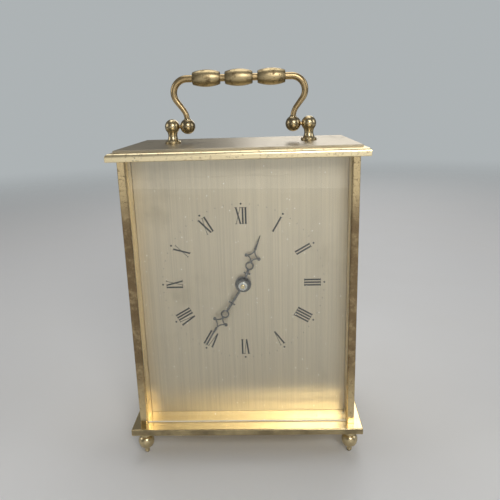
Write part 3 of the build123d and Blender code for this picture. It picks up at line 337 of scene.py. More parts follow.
def brushing_group():
    """Parallel brush lines: the stretch is the number of lines per metre along each axis."""
    tree, given, result = new_group(
        "brushing",
        (("Vector", VECTOR, None), ("Stretch", VECTOR, None)),
        (("Fine", FLOAT), ("Broad", FLOAT)),
    )
    stretched = add(tree, "ShaderNodeVectorMath", operation="MULTIPLY")
    tree.links.new(given.outputs["Vector"], stretched.inputs[0])
    tree.links.new(given.outputs["Stretch"], stretched.inputs[1])
    fine = noise(tree, stretched.outputs[0], 1.0, 3.0, 0.7)
    broad = noise(tree, stretched.outputs[0], 0.22, 4.0, 0.6)
    tree.links.new(fine, result.inputs["Fine"])
    tree.links.new(broad, result.inputs["Broad"])
    return tree


def edges_group():
    """Rounded-off edges as a normal, and the rubbed metal along them as a mask."""
    tree, given, result = new_group(
        "edge_wear",
        (("Radius", FLOAT, 0.00015),),
        (("Rubbed", FLOAT), ("Normal", VECTOR)),
    )
    rounded = add(tree, "ShaderNodeBevel", samples=6)
    tree.links.new(given.outputs["Radius"], rounded.inputs["Radius"])
    surface = add(tree, "ShaderNodeNewGeometry")
    level = add(tree, "ShaderNodeVectorMath", operation="DOT_PRODUCT")
    tree.links.new(rounded.outputs["Normal"], level.inputs[0])
    tree.links.new(surface.outputs["Normal"], level.inputs[1])
    tree.links.new(ramp(tree, level.outputs["Value"], 0.82, 0.995, 1.0, 0.0), result.inputs["Rubbed"])
    tree.links.new(rounded.outputs["Normal"], result.inputs["Normal"])
    return tree


def hollow_shading_group():
    """Painted shade: darkening where one surface shades another, from ambient occlusion."""
    tree, given, result = new_group(
        "hollow_shading",
        (("Reach", FLOAT, 0.0015),),
        (("Hollow", FLOAT),),
    )
    shade = add(tree, "ShaderNodeAmbientOcclusion", samples=8)
    tree.links.new(given.outputs["Reach"], shade.inputs["Distance"])
    tree.links.new(ramp(tree, shade.outputs["AO"], 0.25, 0.85, 1.0, 0.0), result.inputs["Hollow"])
    return tree


def specks_group():
    """Fine dust as a mask of small round specks."""
    tree, given, result = new_group(
        "specks",
        (("Vector", VECTOR, None), ("Scale", FLOAT, 700.0), ("Cover", FLOAT, 0.2)),
        (("Specks", FLOAT),),
    )
    cells = add(tree, "ShaderNodeTexVoronoi")
    tree.links.new(given.outputs["Vector"], cells.inputs["Vector"])
    tree.links.new(given.outputs["Scale"], cells.inputs["Scale"])
    split = add(tree, "ShaderNodeSeparateColor")
    tree.links.new(cells.outputs["Color"], split.inputs[0])
    kept = maths(tree, "LESS_THAN", split.outputs[0], given.outputs["Cover"])
    size = maths(tree, "MULTIPLY", split.outputs[1], 0.2)
    near = ramp(tree, maths(tree, "SUBTRACT", cells.outputs["Distance"], size), 0.0, 0.08, 1.0, 0.0)
    tree.links.new(maths(tree, "MULTIPLY", near, kept), result.inputs["Specks"])
    return tree


GROUP_MAKERS = {
    "metal_wear": metal_wear_group,
    "brushing": brushing_group,
    "edge_wear": edges_group,
    "hollow_shading": hollow_shading_group,
    "specks": specks_group,
}


def place_group(tree, name, values=None, vector=None):
    """A shared node group in a material, built the first time it is asked for."""
    shared = bpy.data.node_groups.get(name) or GROUP_MAKERS[name]()
    node = add(tree, "ShaderNodeGroup", node_tree=shared)
    for key, value in (values or {}).items():
        node.inputs[key].default_value = value
    if vector is not None:
        tree.links.new(vector, node.inputs["Vector"])
    return node


def new_material(name, values=None):
    """A material with one Principled shader; returns the material, its tree and the shader."""
    material = bpy.data.materials.new(name)
    material.use_nodes = True
    tree = material.node_tree
    tree.nodes.clear()
    shader = add(tree, "ShaderNodeBsdfPrincipled", values)
    tree.links.new(shader.outputs[0], add(tree, "ShaderNodeOutputMaterial").inputs["Surface"])
    return material, tree, shader


def finish_surface(tree, shader, bump, height, edges, shade, rough):
    """Feed a shader its bumped and rounded normal, its colour and its roughness."""
    tree.links.new(height, bump.inputs["Height"])
    tree.links.new(edges.outputs["Normal"], bump.inputs["Normal"])
    tree.links.new(bump.outputs["Normal"], shader.inputs["Normal"])
    tree.links.new(shade, shader.inputs["Base Color"])
    tree.links.new(rough, shader.inputs["Roughness"])


def paint_over(material, mask, tint):
    """Mix a colour over a finished material's own where a mask says."""
    tree = material.node_tree
    base = tree.nodes["Principled BSDF"].inputs["Base Color"]
    tree.links.new(blend(tree, mask, base.links[0].from_socket, tint), base)


def metal(name, clean, worn, roughness, worn_roughness, blotch, pits, scratches, lines=None,
          line_depth=0.02, line_shade=0.0, edge=0.00015, hollow_shade=0.0, hollow_shade_reach=0.0015, side_shade=0.0):
    """A worn metal: tarnish in blotches, pits, scratches, brush lines and rubbed edges, with painted shade
    in its recesses and, where asked, on its sides.

    blotch and pits are each a scale and a cover, scratches is a scale, lines is a number of brush lines
    per metre along each axis, and line_depth is in millimetres.
    """
    material, tree, shader = new_material(name, {"Metallic": 1.0, "IOR": 1.45})
    link = tree.links.new
    place = object_place(tree)
    wear = place_group(tree, "metal_wear", {
        "Blotch Scale": blotch[0], "Blotch Cover": blotch[1], "Pit Scale": pits[0],
        "Pit Cover": pits[1], "Scratch Scale": scratches,
    }, place)
    edges = place_group(tree, "edge_wear", {"Radius": edge})
    drift = noise(tree, place, 38.0, 3.0)

    tarnish_and_shade = wear.outputs["Blotches"]
    # Painted shade: faces that look sideways take the worn colour, in streaks, standing in for the dark
    # that their sides reflect.
    if side_shade:
        sideways = ramp(tree, facing(tree, "Z"), 0.2, 0.7, side_shade, 0.0)
        streaks = ramp(tree, noise(tree, place, 160.0, 5.0, 0.65), 0.25, 0.7, 0.55, 1.0)
        tarnish_and_shade = maths(tree, "MAXIMUM", tarnish_and_shade, maths(tree, "MULTIPLY", sideways, streaks))
    # Painted shade: ambient occlusion darkens recesses towards the worn colour.
    if hollow_shade:
        occlusion_shade = place_group(tree, "hollow_shading", {"Reach": hollow_shade_reach}).outputs["Hollow"]
        tarnish_and_shade = maths(tree, "ADD", tarnish_and_shade, maths(tree, "MULTIPLY", occlusion_shade, hollow_shade), True)
    tarnish_and_shade = maths(tree, "MULTIPLY", tarnish_and_shade, maths(tree, "SUBTRACT", 1.0, edges.outputs["Rubbed"]), True)

    # The worn colour is also the colour of the painted shade in recesses and on sides.
    shade = blend(tree, tarnish_and_shade, clean, worn)
    lighter = add(tree, "ShaderNodeHueSaturation", {"Value": DRIFT_LIGHT})
    link(shade, lighter.inputs["Color"])
    shade = blend(tree, drift, shade, lighter.outputs["Color"])
    pitted = maths(tree, "MULTIPLY", wear.outputs["Pits"], PIT_SHADE)
    shade = blend(tree, pitted, shade, tuple(PIT_DARK * part for part in worn))

    rough = ramp(tree, tarnish_and_shade, 0.0, 1.0, roughness, worn_roughness)
    for mask, amount in ((wear.outputs["Scratches"], SCRATCH_ROUGHNESS), (drift, DRIFT_ROUGHNESS),
                         (wear.outputs["Pits"], PIT_ROUGHNESS)):
        rough = maths(tree, "ADD", rough, maths(tree, "MULTIPLY", mask, amount), True)

    height = maths(tree, "MULTIPLY", wear.outputs["Pits"], -1.0)
    height = maths(tree, "SUBTRACT", height,
                   maths(tree, "MULTIPLY", wear.outputs["Scratches"], SCRATCH_DEPTH))
    if lines:
        brush = place_group(tree, "brushing", {"Stretch": lines}, place)
        fine, broad = brush.outputs["Fine"], brush.outputs["Broad"]
        height = maths(tree, "ADD", height, maths(tree, "MULTIPLY", fine, line_depth / BUMP_DEPTH))
        tinted = add(tree, "ShaderNodeVectorMath", operation="SCALE")
        link(shade, tinted.inputs[0])
        link(ramp(tree, broad, 0.3, 0.7, 1.0 - line_shade, 1.0 + line_shade), tinted.inputs["Scale"])
        shade = tinted.outputs[0]
        uneven = ramp(tree, broad, 0.3, 0.7, -BRUSH_ROUGHNESS, BRUSH_ROUGHNESS)
        rough = maths(tree, "ADD", rough, uneven, True)
    bump = add(tree, "ShaderNodeBump", {"Strength": 0.6, "Distance": BUMP_DEPTH * MM})
    finish_surface(tree, shader, bump, height, edges, shade, rough)
    return material


def coated(name, base, second, roughness, metallic=0.0, scale=300.0, coat=0.0):
    """A painted, moulded or lacquered surface with a fine grain and a little dust."""
    material, tree, shader = new_material(name, {"Metallic": metallic, "Coat Weight": coat})
    place = object_place(tree)
    edges = place_group(tree, "edge_wear", {"Radius": 0.0002})
    mottle = noise(tree, place, scale, 5.0, 0.6)
    grain = noise(tree, place, scale * 12, 3.0)
    dust = place_group(tree, "specks", {"Scale": 900.0, "Cover": 0.06}, place).outputs["Specks"]
    shade = blend(tree, ramp(tree, mottle, 0.3, 0.7), base, second)
    shade = blend(tree, maths(tree, "MULTIPLY", edges.outputs["Rubbed"], 0.35), shade,
                  tuple(min(1.0, 1.6 * part + 0.03) for part in base))
    shade = blend(tree, maths(tree, "MULTIPLY", dust, 0.5), shade, (0.55, 0.53, 0.5))
    rough = maths(tree, "ADD", ramp(tree, mottle, 0.3, 0.7, roughness - 0.06, roughness + 0.08),
                  maths(tree, "MULTIPLY", dust, 0.2), True)
    bump = add(tree, "ShaderNodeBump", {"Strength": 0.4, "Distance": BUMP_DEPTH * MM})
    finish_surface(tree, shader, bump, grain, edges, shade, rough)
    return material


def dress(material, *nodes):
    """Give CAD nodes or new pieces a material in place of their own."""
    for node in nodes:
        piece = frame["nodes"][node] if isinstance(node, str) else node
        if not piece.data.materials:
            piece.data.materials.append(material)
        for slot in piece.material_slots:
            slot.material = material


def cad_look(name):
    """One of the plain looks that the CAD frame brings."""
    return bpy.data.materials[name]


# --- Mesh helpers -----------------------------------------------------------------------------
def finish_piece(name, mesh, body, material, smooth=True):
    """Link a mesh as a piece, dress it, and let it ride on its body."""
    piece = bpy.data.objects.new(name, mesh)
    bpy.context.scene.collection.objects.link(piece)
    mesh.shade_smooth() if smooth else mesh.shade_flat()
    dress(material, piece)
    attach(piece, body)
    return piece


def to_mesh(name, shape):
    """Turn a bmesh into a mesh and free it."""
    mesh = bpy.data.meshes.new(name)
    shape.to_mesh(mesh)
    shape.free()
    return mesh


def closed_mesh(name, shape):
    """Turn a closed bmesh into a mesh, with its faces turned outwards."""
    bmesh.ops.recalc_face_normals(shape, faces=shape.faces)
    return to_mesh(name, shape)


def skin(shape, near, far):
    """Faces between two rings of vertices; a ring of one vertex closes to a point."""
    count = max(len(near), len(far))
    for step in range(count):
        after = (step + 1) % count
        corners = (near[step % len(near)], near[after % len(near)],
                   far[after % len(far)], far[step % len(far)])
        shape.faces.new(list(dict.fromkeys(corners)))


def tube(name, centres, radii, segments=32):
    """A closed round tube in the XZ plane along its centres, with a radius at each of them."""
    shape = bmesh.new()
    rings = []
    last = len(centres) - 1
    for index, (centre, radius) in enumerate(zip(centres, radii)):
        along = (centres[min(index + 1, last)] - centres[max(index - 1, 0)]).normalized()
        across = Vector((along.z, 0.0, -along.x))
        ring = []
        for step in range(segments):
            turn = 2 * pi * step / segments
            offset = across * cos(turn) + Vector((0.0, 1.0, 0.0)) * sin(turn)
            ring.append(shape.verts.new(centre + radius * offset))
        rings.append(ring)
    for near, far in zip(rings, rings[1:]):
        skin(shape, near, far)
    shape.faces.new(rings[0][::-1])
    shape.faces.new(rings[-1])
    return closed_mesh(name, shape)


def turned(name, profile, centre, segments=64):
    """A turned piece about an upright axis: the profile is (radius, height) from the centre."""
    shape = bmesh.new()
    rings = []
    for radius, height in profile:
        ring = []
        for step in range(segments if radius else 1):
            turn = 2 * pi * step / segments
            ring.append(shape.verts.new(centre + Vector((radius * cos(turn), radius * sin(turn), height))))
        rings.append(ring)
    for near, far in zip(rings, rings[1:]):
        skin(shape, near, far)
    return closed_mesh(name, shape)


def handle_path():
    """Points of the rod's centre line from the left ball to the right one."""
    lower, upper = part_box("handle_barrel_middle")
    barrel_z = (lower.z + upper.z) / 2
    bend = Vector((HALF_BULGE - BEND_RADIUS, 0.0, barrel_z - BEND_RADIUS))
    start = Vector((BALL_X, 0.0, HINGE.z + NECK_RISE))
    bend_start = bend + BEND_RADIUS * Vector((cos(LEAN), 0.0, -sin(LEAN)))
    rise, reach = bend_start.z - start.z, bend_start.x - start.x
    neck_radius = (rise * sin(LEAN) - reach * cos(LEAN)) / (1 - cos(LEAN))
    right = [Vector((BALL_X, 0.0, HINGE.z + ROD_SUNK))]
    for step in range(NECK_STEPS + 1):
        turn = LEAN * step / NECK_STEPS
        right.append(start + neck_radius * Vector((1 - cos(turn), 0.0, sin(turn))))
    for step in range(BEND_STEPS + 1):
        turn = -LEAN + (pi / 2 + LEAN) * step / BEND_STEPS
        right.append(bend + BEND_RADIUS * Vector((cos(turn), 0.0, sin(turn))))
    for step in range(1, BARREL_STEPS + 1):
        right.append(Vector((bend.x * (1 - step / BARREL_STEPS), 0.0, barrel_z)))
    left = [Vector((-point.x, 0.0, point.z)) for point in right[:-1]]
    return left + right[::-1]


def rod_radii(path, sizes):
    """The rod's radius at each point of its path: thin at the balls, easing to full at the barrels."""
    travelled = [0.0]
    for near, far in zip(path, path[1:]):
        travelled.append(travelled[-1] + (far - near).length)
    radii = []
    for distance in travelled:
        end = min(distance, travelled[-1] - distance)
        tapered = min(1.0, max(0.0, (end - TAPER_START) / TAPER_LENGTH))
        eased = tapered * tapered * (3 - 2 * tapered)
        radii.append(sizes.rod_end + (sizes.rod_middle - sizes.rod_end) * eased)
    return radii


def ball_profile(sizes, steps=36):
    """A handle ball's profile from its foot to its collar, as (radius, height) from its centre."""
    profile = [(0.0, -sizes.ball)]
    for step in range(1, steps + 1):
        turn = -pi / 2 + (pi / 2 + BALL_ROUND_TO) * step / steps
        profile.append((sizes.ball * cos(turn), sizes.ball * sin(turn)))
    for across, up in BALL_COLLAR:
        profile.append((across * sizes.rod_end, up * sizes.ball))
    return profile


def roman_strokes(text, sizes):
    """A numeral's strokes, each a rank and an outline, standing on the base line and centred."""
    tall, thick, thin, serif = sizes
    advance = {"I": 1.7 * thick, "V": 0.35 * tall, "X": 0.36 * tall}
    total = sum(advance[letter] for letter in text)
    cursor = -total / 2
    strokes = []

    def bar(bottom, top, width, rank):
        strokes.append((rank, [(bottom - width / 2, 0.0), (bottom + width / 2, 0.0),
                               (top + width / 2, tall), (top - width / 2, tall)]))

    def foot(centre, width, level):
        strokes.append((2, [(centre - width / 2, level), (centre + width / 2, level),
                            (centre + width / 2, level + serif), (centre - width / 2, level + serif)]))

    for letter in text:
        width = advance[letter]
        middle = cursor + width / 2
        reach = 0.36 * width
        if letter == "I":
            bar(middle, middle, thick, 0)
            foot(middle, I_SERIF * thick, 0.0)
            foot(middle, I_SERIF * thick, tall - serif)
        elif letter == "V":
            bar(middle, middle - reach, thick, 0)
            bar(middle + 0.1 * thick, middle + reach, thin, 1)
            foot(middle - reach, THICK_SERIF * thick, tall - serif)
            foot(middle + reach, THIN_SERIF * thick, tall - serif)
        else:
            bar(middle + reach, middle - reach, thick, 0)
            bar(middle - reach, middle + reach, thin, 1)
            for side, span in ((-1, THICK_SERIF), (1, THIN_SERIF)):
                foot(middle + side * reach, span * thick, tall - serif)
                foot(middle - side * reach, span * thick, 0.0)
        cursor += width
    return strokes


def print_outline(shape, outline, angle, radius, thickness):
    """Add a flat printed prism on the dial's face: an outline across and outwards from a radius."""
    out = Vector((sin(angle), 0.0, cos(angle)))
    across = Vector((cos(angle), 0.0, -sin(angle)))
    centre = Vector((HANDS_AXIS.x, 0.0, HANDS_AXIS.z))
    rings = []
    for level in (DIAL_FACE_Y + INK_SUNK, DIAL_FACE_Y - thickness):
        rings.append([
            shape.verts.new(centre + Vector((0.0, level, 0.0)) + across * u + out * (radius + v))
            for u, v in outline
        ])
    back, front = rings
    skin(shape, back, front)
    shape.faces.new(front)
    shape.faces.new(back[::-1])


# --- Operators ----------------------------------------------------------------------------------
class MANTELCLOCK_OT_stage(bpy.types.Operator):
    """Make the camera, the floor, the surround and soft studio lights"""

    bl_idname = "mantelclock.stage"
    bl_label = "Stage"

    def execute(self, context):
        stage = context.scene.clock_stage
        scene = context.scene
        lens = bpy.data.cameras.new("camera")
        lens.lens = stage.lens
        lens.sensor_width = 36.0
        lens.clip_start = 0.005
        camera = bpy.data.objects.new("camera", lens)
        turn = (Matrix.Rotation(stage.yaw, 3, "Z") @ Matrix.Rotation(stage.pitch, 3, "X")
                @ Matrix.Rotation(stage.roll, 3, "Y"))
        axes = Matrix((turn.col[0], turn.col[2], -turn.col[1])).transposed()
        camera.matrix_world = Matrix.Translation(stage.place) @ axes.to_4x4()
        scene.collection.objects.link(camera)
        scene.camera = camera
        self.floor(scene, stage)
        self.lights(scene)
        self.surround(scene)
        scene.view_settings.view_transform = "Standard"
        return {"FINISHED"}

    def floor(self, scene, stage):
        """A pale round floor that fades into the surround, so that no edge shows from any side."""
        shape = bmesh.new()
        bmesh.ops.create_circle(shape, cap_ends=True, segments=96, radius=FLOOR_FADES[1])
        mesh = to_mesh("floor", shape)
        disc = bpy.data.objects.new("floor", mesh)
        scene.collection.objects.link(disc)
        material, tree, shader = new_material("floor", {"Specular IOR Level": 0.3})
        place = object_place(tree)
        grain = noise(tree, place, 14.0, 5.0)
        warm = tuple(part * factor for part, factor in zip(stage.floor, (0.97, 0.96, 0.94)))
        tree.links.new(blend(tree, grain, stage.floor, warm), shader.inputs["Base Color"])
        tree.links.new(ramp(tree, grain, 0.2, 0.8, 0.5, 0.62), shader.inputs["Roughness"])
        reach = add(tree, "ShaderNodeVectorMath", operation="LENGTH")
        tree.links.new(place, reach.inputs[0])
        kept = ramp(tree, reach.outputs["Value"], *FLOOR_FADES, 1.0, 0.0)
        tree.links.new(kept, shader.inputs["Alpha"])
        mesh.materials.append(material)

    def lights(self, scene):
        """Soft boxes: above the camera, low in front, at each side, overhead and behind."""
        middle = Vector((0.0, 0.0, 0.075))
        for name, place, size, watts, tint in (
            ("key", (0.14, -0.55, 0.42), (0.24, 0.24), 1.5, (1.0, 0.975, 0.94)),
            ("front", (0.1, -0.78, 0.11), (1.1, 0.24), 0.6, (1.0, 0.985, 0.96)),
            ("left", (-0.85, -0.1, 0.4), (0.4, 0.4), 0.9, (1.0, 0.98, 0.95)),
            ("right", (0.85, -0.1, 0.45), (0.4, 0.4), 1.0, (0.97, 0.98, 1.0)),
            ("top", (0.0, 0.25, 0.95), (0.6, 0.6), 2.5, (1.0, 0.99, 0.97)),
            ("rear", (0.15, 0.85, 0.5), (0.4, 0.4), 1.2, (1.0, 0.98, 0.96)),
        ):
            lamp = bpy.data.lights.new(name, "AREA")
            lamp.shape = "RECTANGLE"
            lamp.size, lamp.size_y = size
            lamp.energy = watts
            lamp.color = tint
            light = bpy.data.objects.new(name, lamp)
            aim = (middle - Vector(place)).to_track_quat("-Z", "Y")
            light.matrix_world = Matrix.Translation(place) @ aim.to_matrix().to_4x4()
            scene.collection.objects.link(light)

    def surround(self, scene):
        """A pale surround behind the floor's edge, dim in what it adds to the light."""
        world = bpy.data.worlds.new("studio")
        world.use_nodes = True
        tree = world.node_tree
        dim = tree.nodes["Background"]
        dim.inputs["Color"].default_value = (0.95, 0.97, 1.0, 1.0)
        dim.inputs["Strength"].default_value = 0.14
        pale = add(tree, "ShaderNodeBackground", {"Color": (0.42, 0.45, 0.46, 1.0), "Strength": 1.0})
        seen = add(tree, "ShaderNodeMixShader")
        tree.links.new(add(tree, "ShaderNodeLightPath").outputs["Is Camera Ray"], seen.inputs[0])
        tree.links.new(dim.outputs[0], seen.inputs[1])
        tree.links.new(pale.outputs[0], seen.inputs[2])
        tree.links.new(seen.outputs[0], tree.nodes["World Output"].inputs["Surface"])
        scene.world = world


class MANTELCLOCK_OT_case(bpy.types.Operator):
    """Finish the plates, pillars, walls, feet and the rear door"""

    bl_idname = "mantelclock.case"
    bl_label = "Case"

    def execute(self, context):
        look = context.scene.clock_finishes
        tarnish = tuple(look.tarnish)
        # The base plate's sides are darkened as painted shade.
        dress(metal("plate_brass", tuple(look.brass), (0.18, 0.145, 0.085), look.polish, 0.42,
                    blotch=(150.0, 0.25), pits=(1100.0, 0.34), scratches=140.0,
                    lines=(700.0, 9000.0, 9000.0), line_depth=0.006, line_shade=0.05,
                    edge=0.0004, side_shade=0.9), "base_plate")
        dress(metal("top_plate_brass", (0.94, 0.81, 0.52), (0.56, 0.44, 0.25), look.satin - 0.06, 0.42,
                    blotch=(620.0, 0.55), pits=(1300.0, 0.45), scratches=140.0, edge=0.0002),
              "top_plate")
        dress(metal("cap_brass", (0.42, 0.365, 0.26), (0.22, 0.18, 0.12), look.satin, 0.5,
                    blotch=(60.0, 0.45), pits=(1300.0, 0.35), scratches=90.0,
                    lines=(120.0, 3400.0, 3400.0), line_shade=0.18, edge=0.0002), "top_cap")
        pillars = metal("pillar_brass", (0.66, 0.52, 0.29), (0.33, 0.25, 0.14), look.polish + 0.04, 0.4,
                        blotch=(900.0, 0.6), pits=(1500.0, 0.5), scratches=130.0, edge=0.0004)
        self.paint_dark_band(pillars)
        dress(pillars, "pillar_front_left", "pillar_front_right", "pillar_rear_left", "pillar_rear_right")
        dress(metal("wall_brass", tuple(look.warm_brass), tarnish, look.polish + 0.1, 0.44,
                    blotch=(70.0, 0.22), pits=(1200.0, 0.12), scratches=110.0,
                    lines=(9000.0, 9000.0, 260.0), line_depth=0.008, line_shade=0.05),
              "side_panel_left", "side_panel_right", "rear_door")
        # Posts, feet and knob darken in their recesses as painted shade.
        dress(metal("turned_brass", (0.58, 0.475, 0.28), tarnish, look.satin - 0.09, 0.44,
                    blotch=(260.0, 0.4), pits=(1100.0, 0.3), scratches=200.0,
                    edge=0.0001, hollow_shade=0.9, hollow_shade_reach=0.0016),
              "foot_front_left", "foot_front_right", "foot_rear_left", "foot_rear_right", "door_knob",
              "handle_post_left", "handle_post_right")
        return {"FINISHED"}

    def paint_dark_band(self, pillars):
        """Darken the pillars' middles in mottled brown as a painted dark reflection, and leave their ends
        golden.
        """
        tree = pillars.node_tree
        foot, head = (corner.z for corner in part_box("pillar_front_left"))
        place = object_place(tree)
        split = add(tree, "ShaderNodeSeparateXYZ")
        tree.links.new(place, split.inputs[0])
        level = split.outputs["Z"]
        above_foot = ramp(tree, level, *(foot + rise for rise in DARK_BAND_ABOVE_FOOT))
        below_head = ramp(tree, level, *(head - drop for drop in DARK_BAND_BELOW_HEAD), 1.0, 0.0)
        clouds = ramp(tree, noise(tree, place, 210.0, 6.0, 0.7), 0.32, 0.55, 0.45, 0.95)
        # Painted dark reflection, mottled, fading out towards both golden ends.
        dark_band = maths(tree, "MULTIPLY", maths(tree, "MULTIPLY", above_foot, below_head), clouds)
        paint_over(pillars, dark_band, (0.21, 0.145, 0.078))


class MANTELCLOCK_OT_handle(bpy.types.Operator):
    """Build the tapered rod and the two balls, and finish the barrels"""

    bl_idname = "mantelclock.handle"
    bl_label = "Handle"

    def execute(self, context):
        look, sizes = context.scene.clock_finishes, context.scene.clock_handle
        antique = cad_look("antique_brass")
        # The balls darken in their recesses as painted shade.
        ball_brass = metal("ball_brass", (0.44, 0.355, 0.21), tuple(look.tarnish), look.satin - 0.1, 0.44,
                           blotch=(300.0, 0.4), pits=(1200.0, 0.35), scratches=220.0,
                           edge=0.0001, hollow_shade=1.0, hollow_shade_reach=0.0018)
        path = handle_path()
        mesh = tube("handle_bail", path, rod_radii(path, sizes))
        rod = finish_piece("handle_bail", mesh, "handle", antique)
        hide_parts("handle_rod")
        for side, name in ((-1, "left"), (1, "right")):
            centre = Vector((side * BALL_X, 0.0, HINGE.z))
            mesh = turned(f"bail_ball_{name}", ball_profile(sizes), centre)
            ball = finish_piece(f"bail_ball_{name}", mesh, "handle", ball_brass)
            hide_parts(f"handle_ball_{name}")
        barrels = metal("barrel_brass", (0.54, 0.43, 0.24), (0.22, 0.16, 0.085), 0.36, 0.48,
                        blotch=(420.0, 0.6), pits=(1200.0, 0.5), scratches=240.0, edge=0.0001)
        # Painted shade darkens the barrels' narrow ends.
        self.shade_ends(barrels, tuple(look.barrel_end_shade))
        dress(barrels, "handle_barrel_left", "handle_barrel_middle", "handle_barrel_right")
        dress(antique, "handle_pins")
        return {"FINISHED"}

    def shade_ends(self, barrels, dark):
        """Darken the barrels towards their narrow ends, as painted shade."""
        tree = barrels.node_tree
        lower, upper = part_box("handle_barrel_middle")
        widest = (upper.z - lower.z) / 2
        reach = axis_distance(tree, (0.0, 1.0, 1.0), (0.0, 0.0, (lower.z + upper.z) / 2))
        ends = ramp(tree, reach, *(part * widest for part in BARREL_SHADE_SPAN), 0.8, 0.0)
        paint_over(barrels, ends, dark)


class MANTELCLOCK_OT_glass(bpy.types.Operator):
    """Finish the front glass: clear, with light dust, hairline marks and a painted pale glow on its edges
    """

    bl_idname = "mantelclock.glass"
    bl_label = "Front glass"

    def execute(self, context):
        material, tree, shader = new_material(
            "clear_glass",
            {"Base Color": (0.97, 0.99, 0.975, 1.0), "Transmission Weight": 1.0, "Metallic": 0.0,
             "IOR": 1.5, "Emission Strength": 0.35},
        )
        link = tree.links.new
        place = object_place(tree)
        specks = place_group(tree, "specks", {"Scale": 1000.0, "Cover": 0.03}, place).outputs["Specks"]
        wear = place_group(tree, "metal_wear", {"Blotch Scale": 30.0, "Blotch Cover": 0.35,
                                                "Scratch Scale": 34.0, "Pit Cover": 0.0}, place)
        haze = maths(tree, "MULTIPLY", wear.outputs["Blotches"], 0.012)
        rough = maths(tree, "ADD", maths(tree, "MULTIPLY", specks, 0.4), haze)
        rough = maths(tree, "ADD", rough, maths(tree, "MULTIPLY", wear.outputs["Scratches"], 0.2), True)
        # The glass's edges are ground rough, and also glow pale through the emission as painted light.
        ground_edge_and_glow = ramp(tree, facing(tree, "Y"), 0.3, 0.8, 0.65, 0.0)
        link(maths(tree, "MAXIMUM", rough, ground_edge_and_glow), shader.inputs["Roughness"])
        link(blend(tree, ground_edge_and_glow, (0.0, 0.0, 0.0), (0.85, 0.84, 0.78)), shader.inputs["Emission Color"])
        bump = add(tree, "ShaderNodeBump", {"Strength": 0.2, "Distance": 0.00001})
        link(wear.outputs["Scratches"], bump.inputs["Height"])
        link(bump.outputs["Normal"], shader.inputs["Normal"])
        self.pass_light(tree, shader)
        dress(material, "front_glass")
        return {"FINISHED"}

    def pass_light(self, tree, shader):
        """Let light through the glass unbent, so that it casts no shadow of its own."""
        clear = add(tree, "ShaderNodeBsdfTransparent")
        mix = add(tree, "ShaderNodeMixShader")
        rays = add(tree, "ShaderNodeLightPath")
        tree.links.new(rays.outputs["Is Shadow Ray"], mix.inputs[0])
        tree.links.new(shader.outputs[0], mix.inputs[1])
        tree.links.new(clear.outputs[0], mix.inputs[2])
        tree.links.new(mix.outputs[0], tree.nodes["Material Output"].inputs["Surface"])


class MANTELCLOCK_OT_dial(bpy.types.Operator):
    """Finish the brushed dial and print its Roman hours and ring of dots"""

    bl_idname = "mantelclock.dial"
    bl_label = "Dial"

    def execute(self, context):
        look, sizes = context.scene.clock_finishes, context.scene.clock_dial
        dress(metal("brushed_dial", tuple(look.dial), (0.50, 0.435, 0.325), 0.37, 0.44,
                    blotch=(26.0, 0.5), pits=(1500.0, 0.06), scratches=70.0,
                    lines=(8000.0, 8000.0, 60.0), line_depth=0.05, line_shade=0.075), "dial_plate")
        ink = coated("dial_ink", (0.018, 0.017, 0.016), (0.03, 0.028, 0.026), 0.42, scale=900.0)
        letters = bmesh.new()
        stroke_sizes = (sizes.numeral_height, sizes.thick_stroke, sizes.thin_stroke, sizes.serif)
        base_radius = sizes.numeral_outer - sizes.numeral_height
        for hour, text in enumerate(ROMAN):
            for rank, outline in roman_strokes(text, stroke_sizes):
                depth = sizes.ink * (1.0 - RANK_DROP * rank)
                print_outline(letters, outline, radians(30 * hour), base_radius, depth)
        self.printed(letters, "hour_numerals", ink)

        dots = bmesh.new()
        for minute in range(60):
            radius = (sizes.hour_dot if minute % 5 == 0 else sizes.minute_dot) / 2
            turns = [2 * pi * step / DOT_SIDES for step in range(DOT_SIDES)]
            outline = [(radius * cos(turn), radius * sin(turn)) for turn in turns]
            print_outline(dots, outline, radians(6 * minute), sizes.dot_radius, sizes.ink)
        self.printed(dots, "minute_dots", ink)
        return {"FINISHED"}

    def printed(self, shape, name, ink):
        """Turn a shape into a printed piece on the dial."""
        finish_piece(name, closed_mesh(name, shape), "case", ink, smooth=False)


class MANTELCLOCK_OT_hands(bpy.types.Operator):
    """Finish the hands and the nut that holds them"""

    bl_idname = "mantelclock.hands"
    bl_label = "Hands"

    def execute(self, context):
        look = context.scene.clock_finishes
        dress(metal("blued_steel", tuple(look.steel), (0.07, 0.068, 0.065), 0.24, 0.38,
                    blotch=(500.0, 0.3), pits=(2400.0, 0.15), scratches=400.0, edge=0.00012),
              "hour_hand", "minute_hand")
        nut = metal("nut_steel", tuple(look.bright), (0.35, 0.33, 0.3), 0.2, 0.35,
                    blotch=(900.0, 0.2), pits=(2400.0, 0.1), scratches=500.0, edge=0.0001)
        self.brass_tip(nut, tuple(look.brass))
        dress(nut, "hand_nut")
        return {"FINISHED"}

    def brass_tip(self, nut, brass):
        """Colour the end of the arbor, in the middle of the nut, as brass."""
        tree = nut.node_tree
        reach = axis_distance(tree, (1.0, 0.0, 1.0), (HANDS_AXIS.x, 0.0, HANDS_AXIS.z))
        paint_over(nut, ramp(tree, reach, *ARBOR_TIP, 1.0, 0.0), brass)


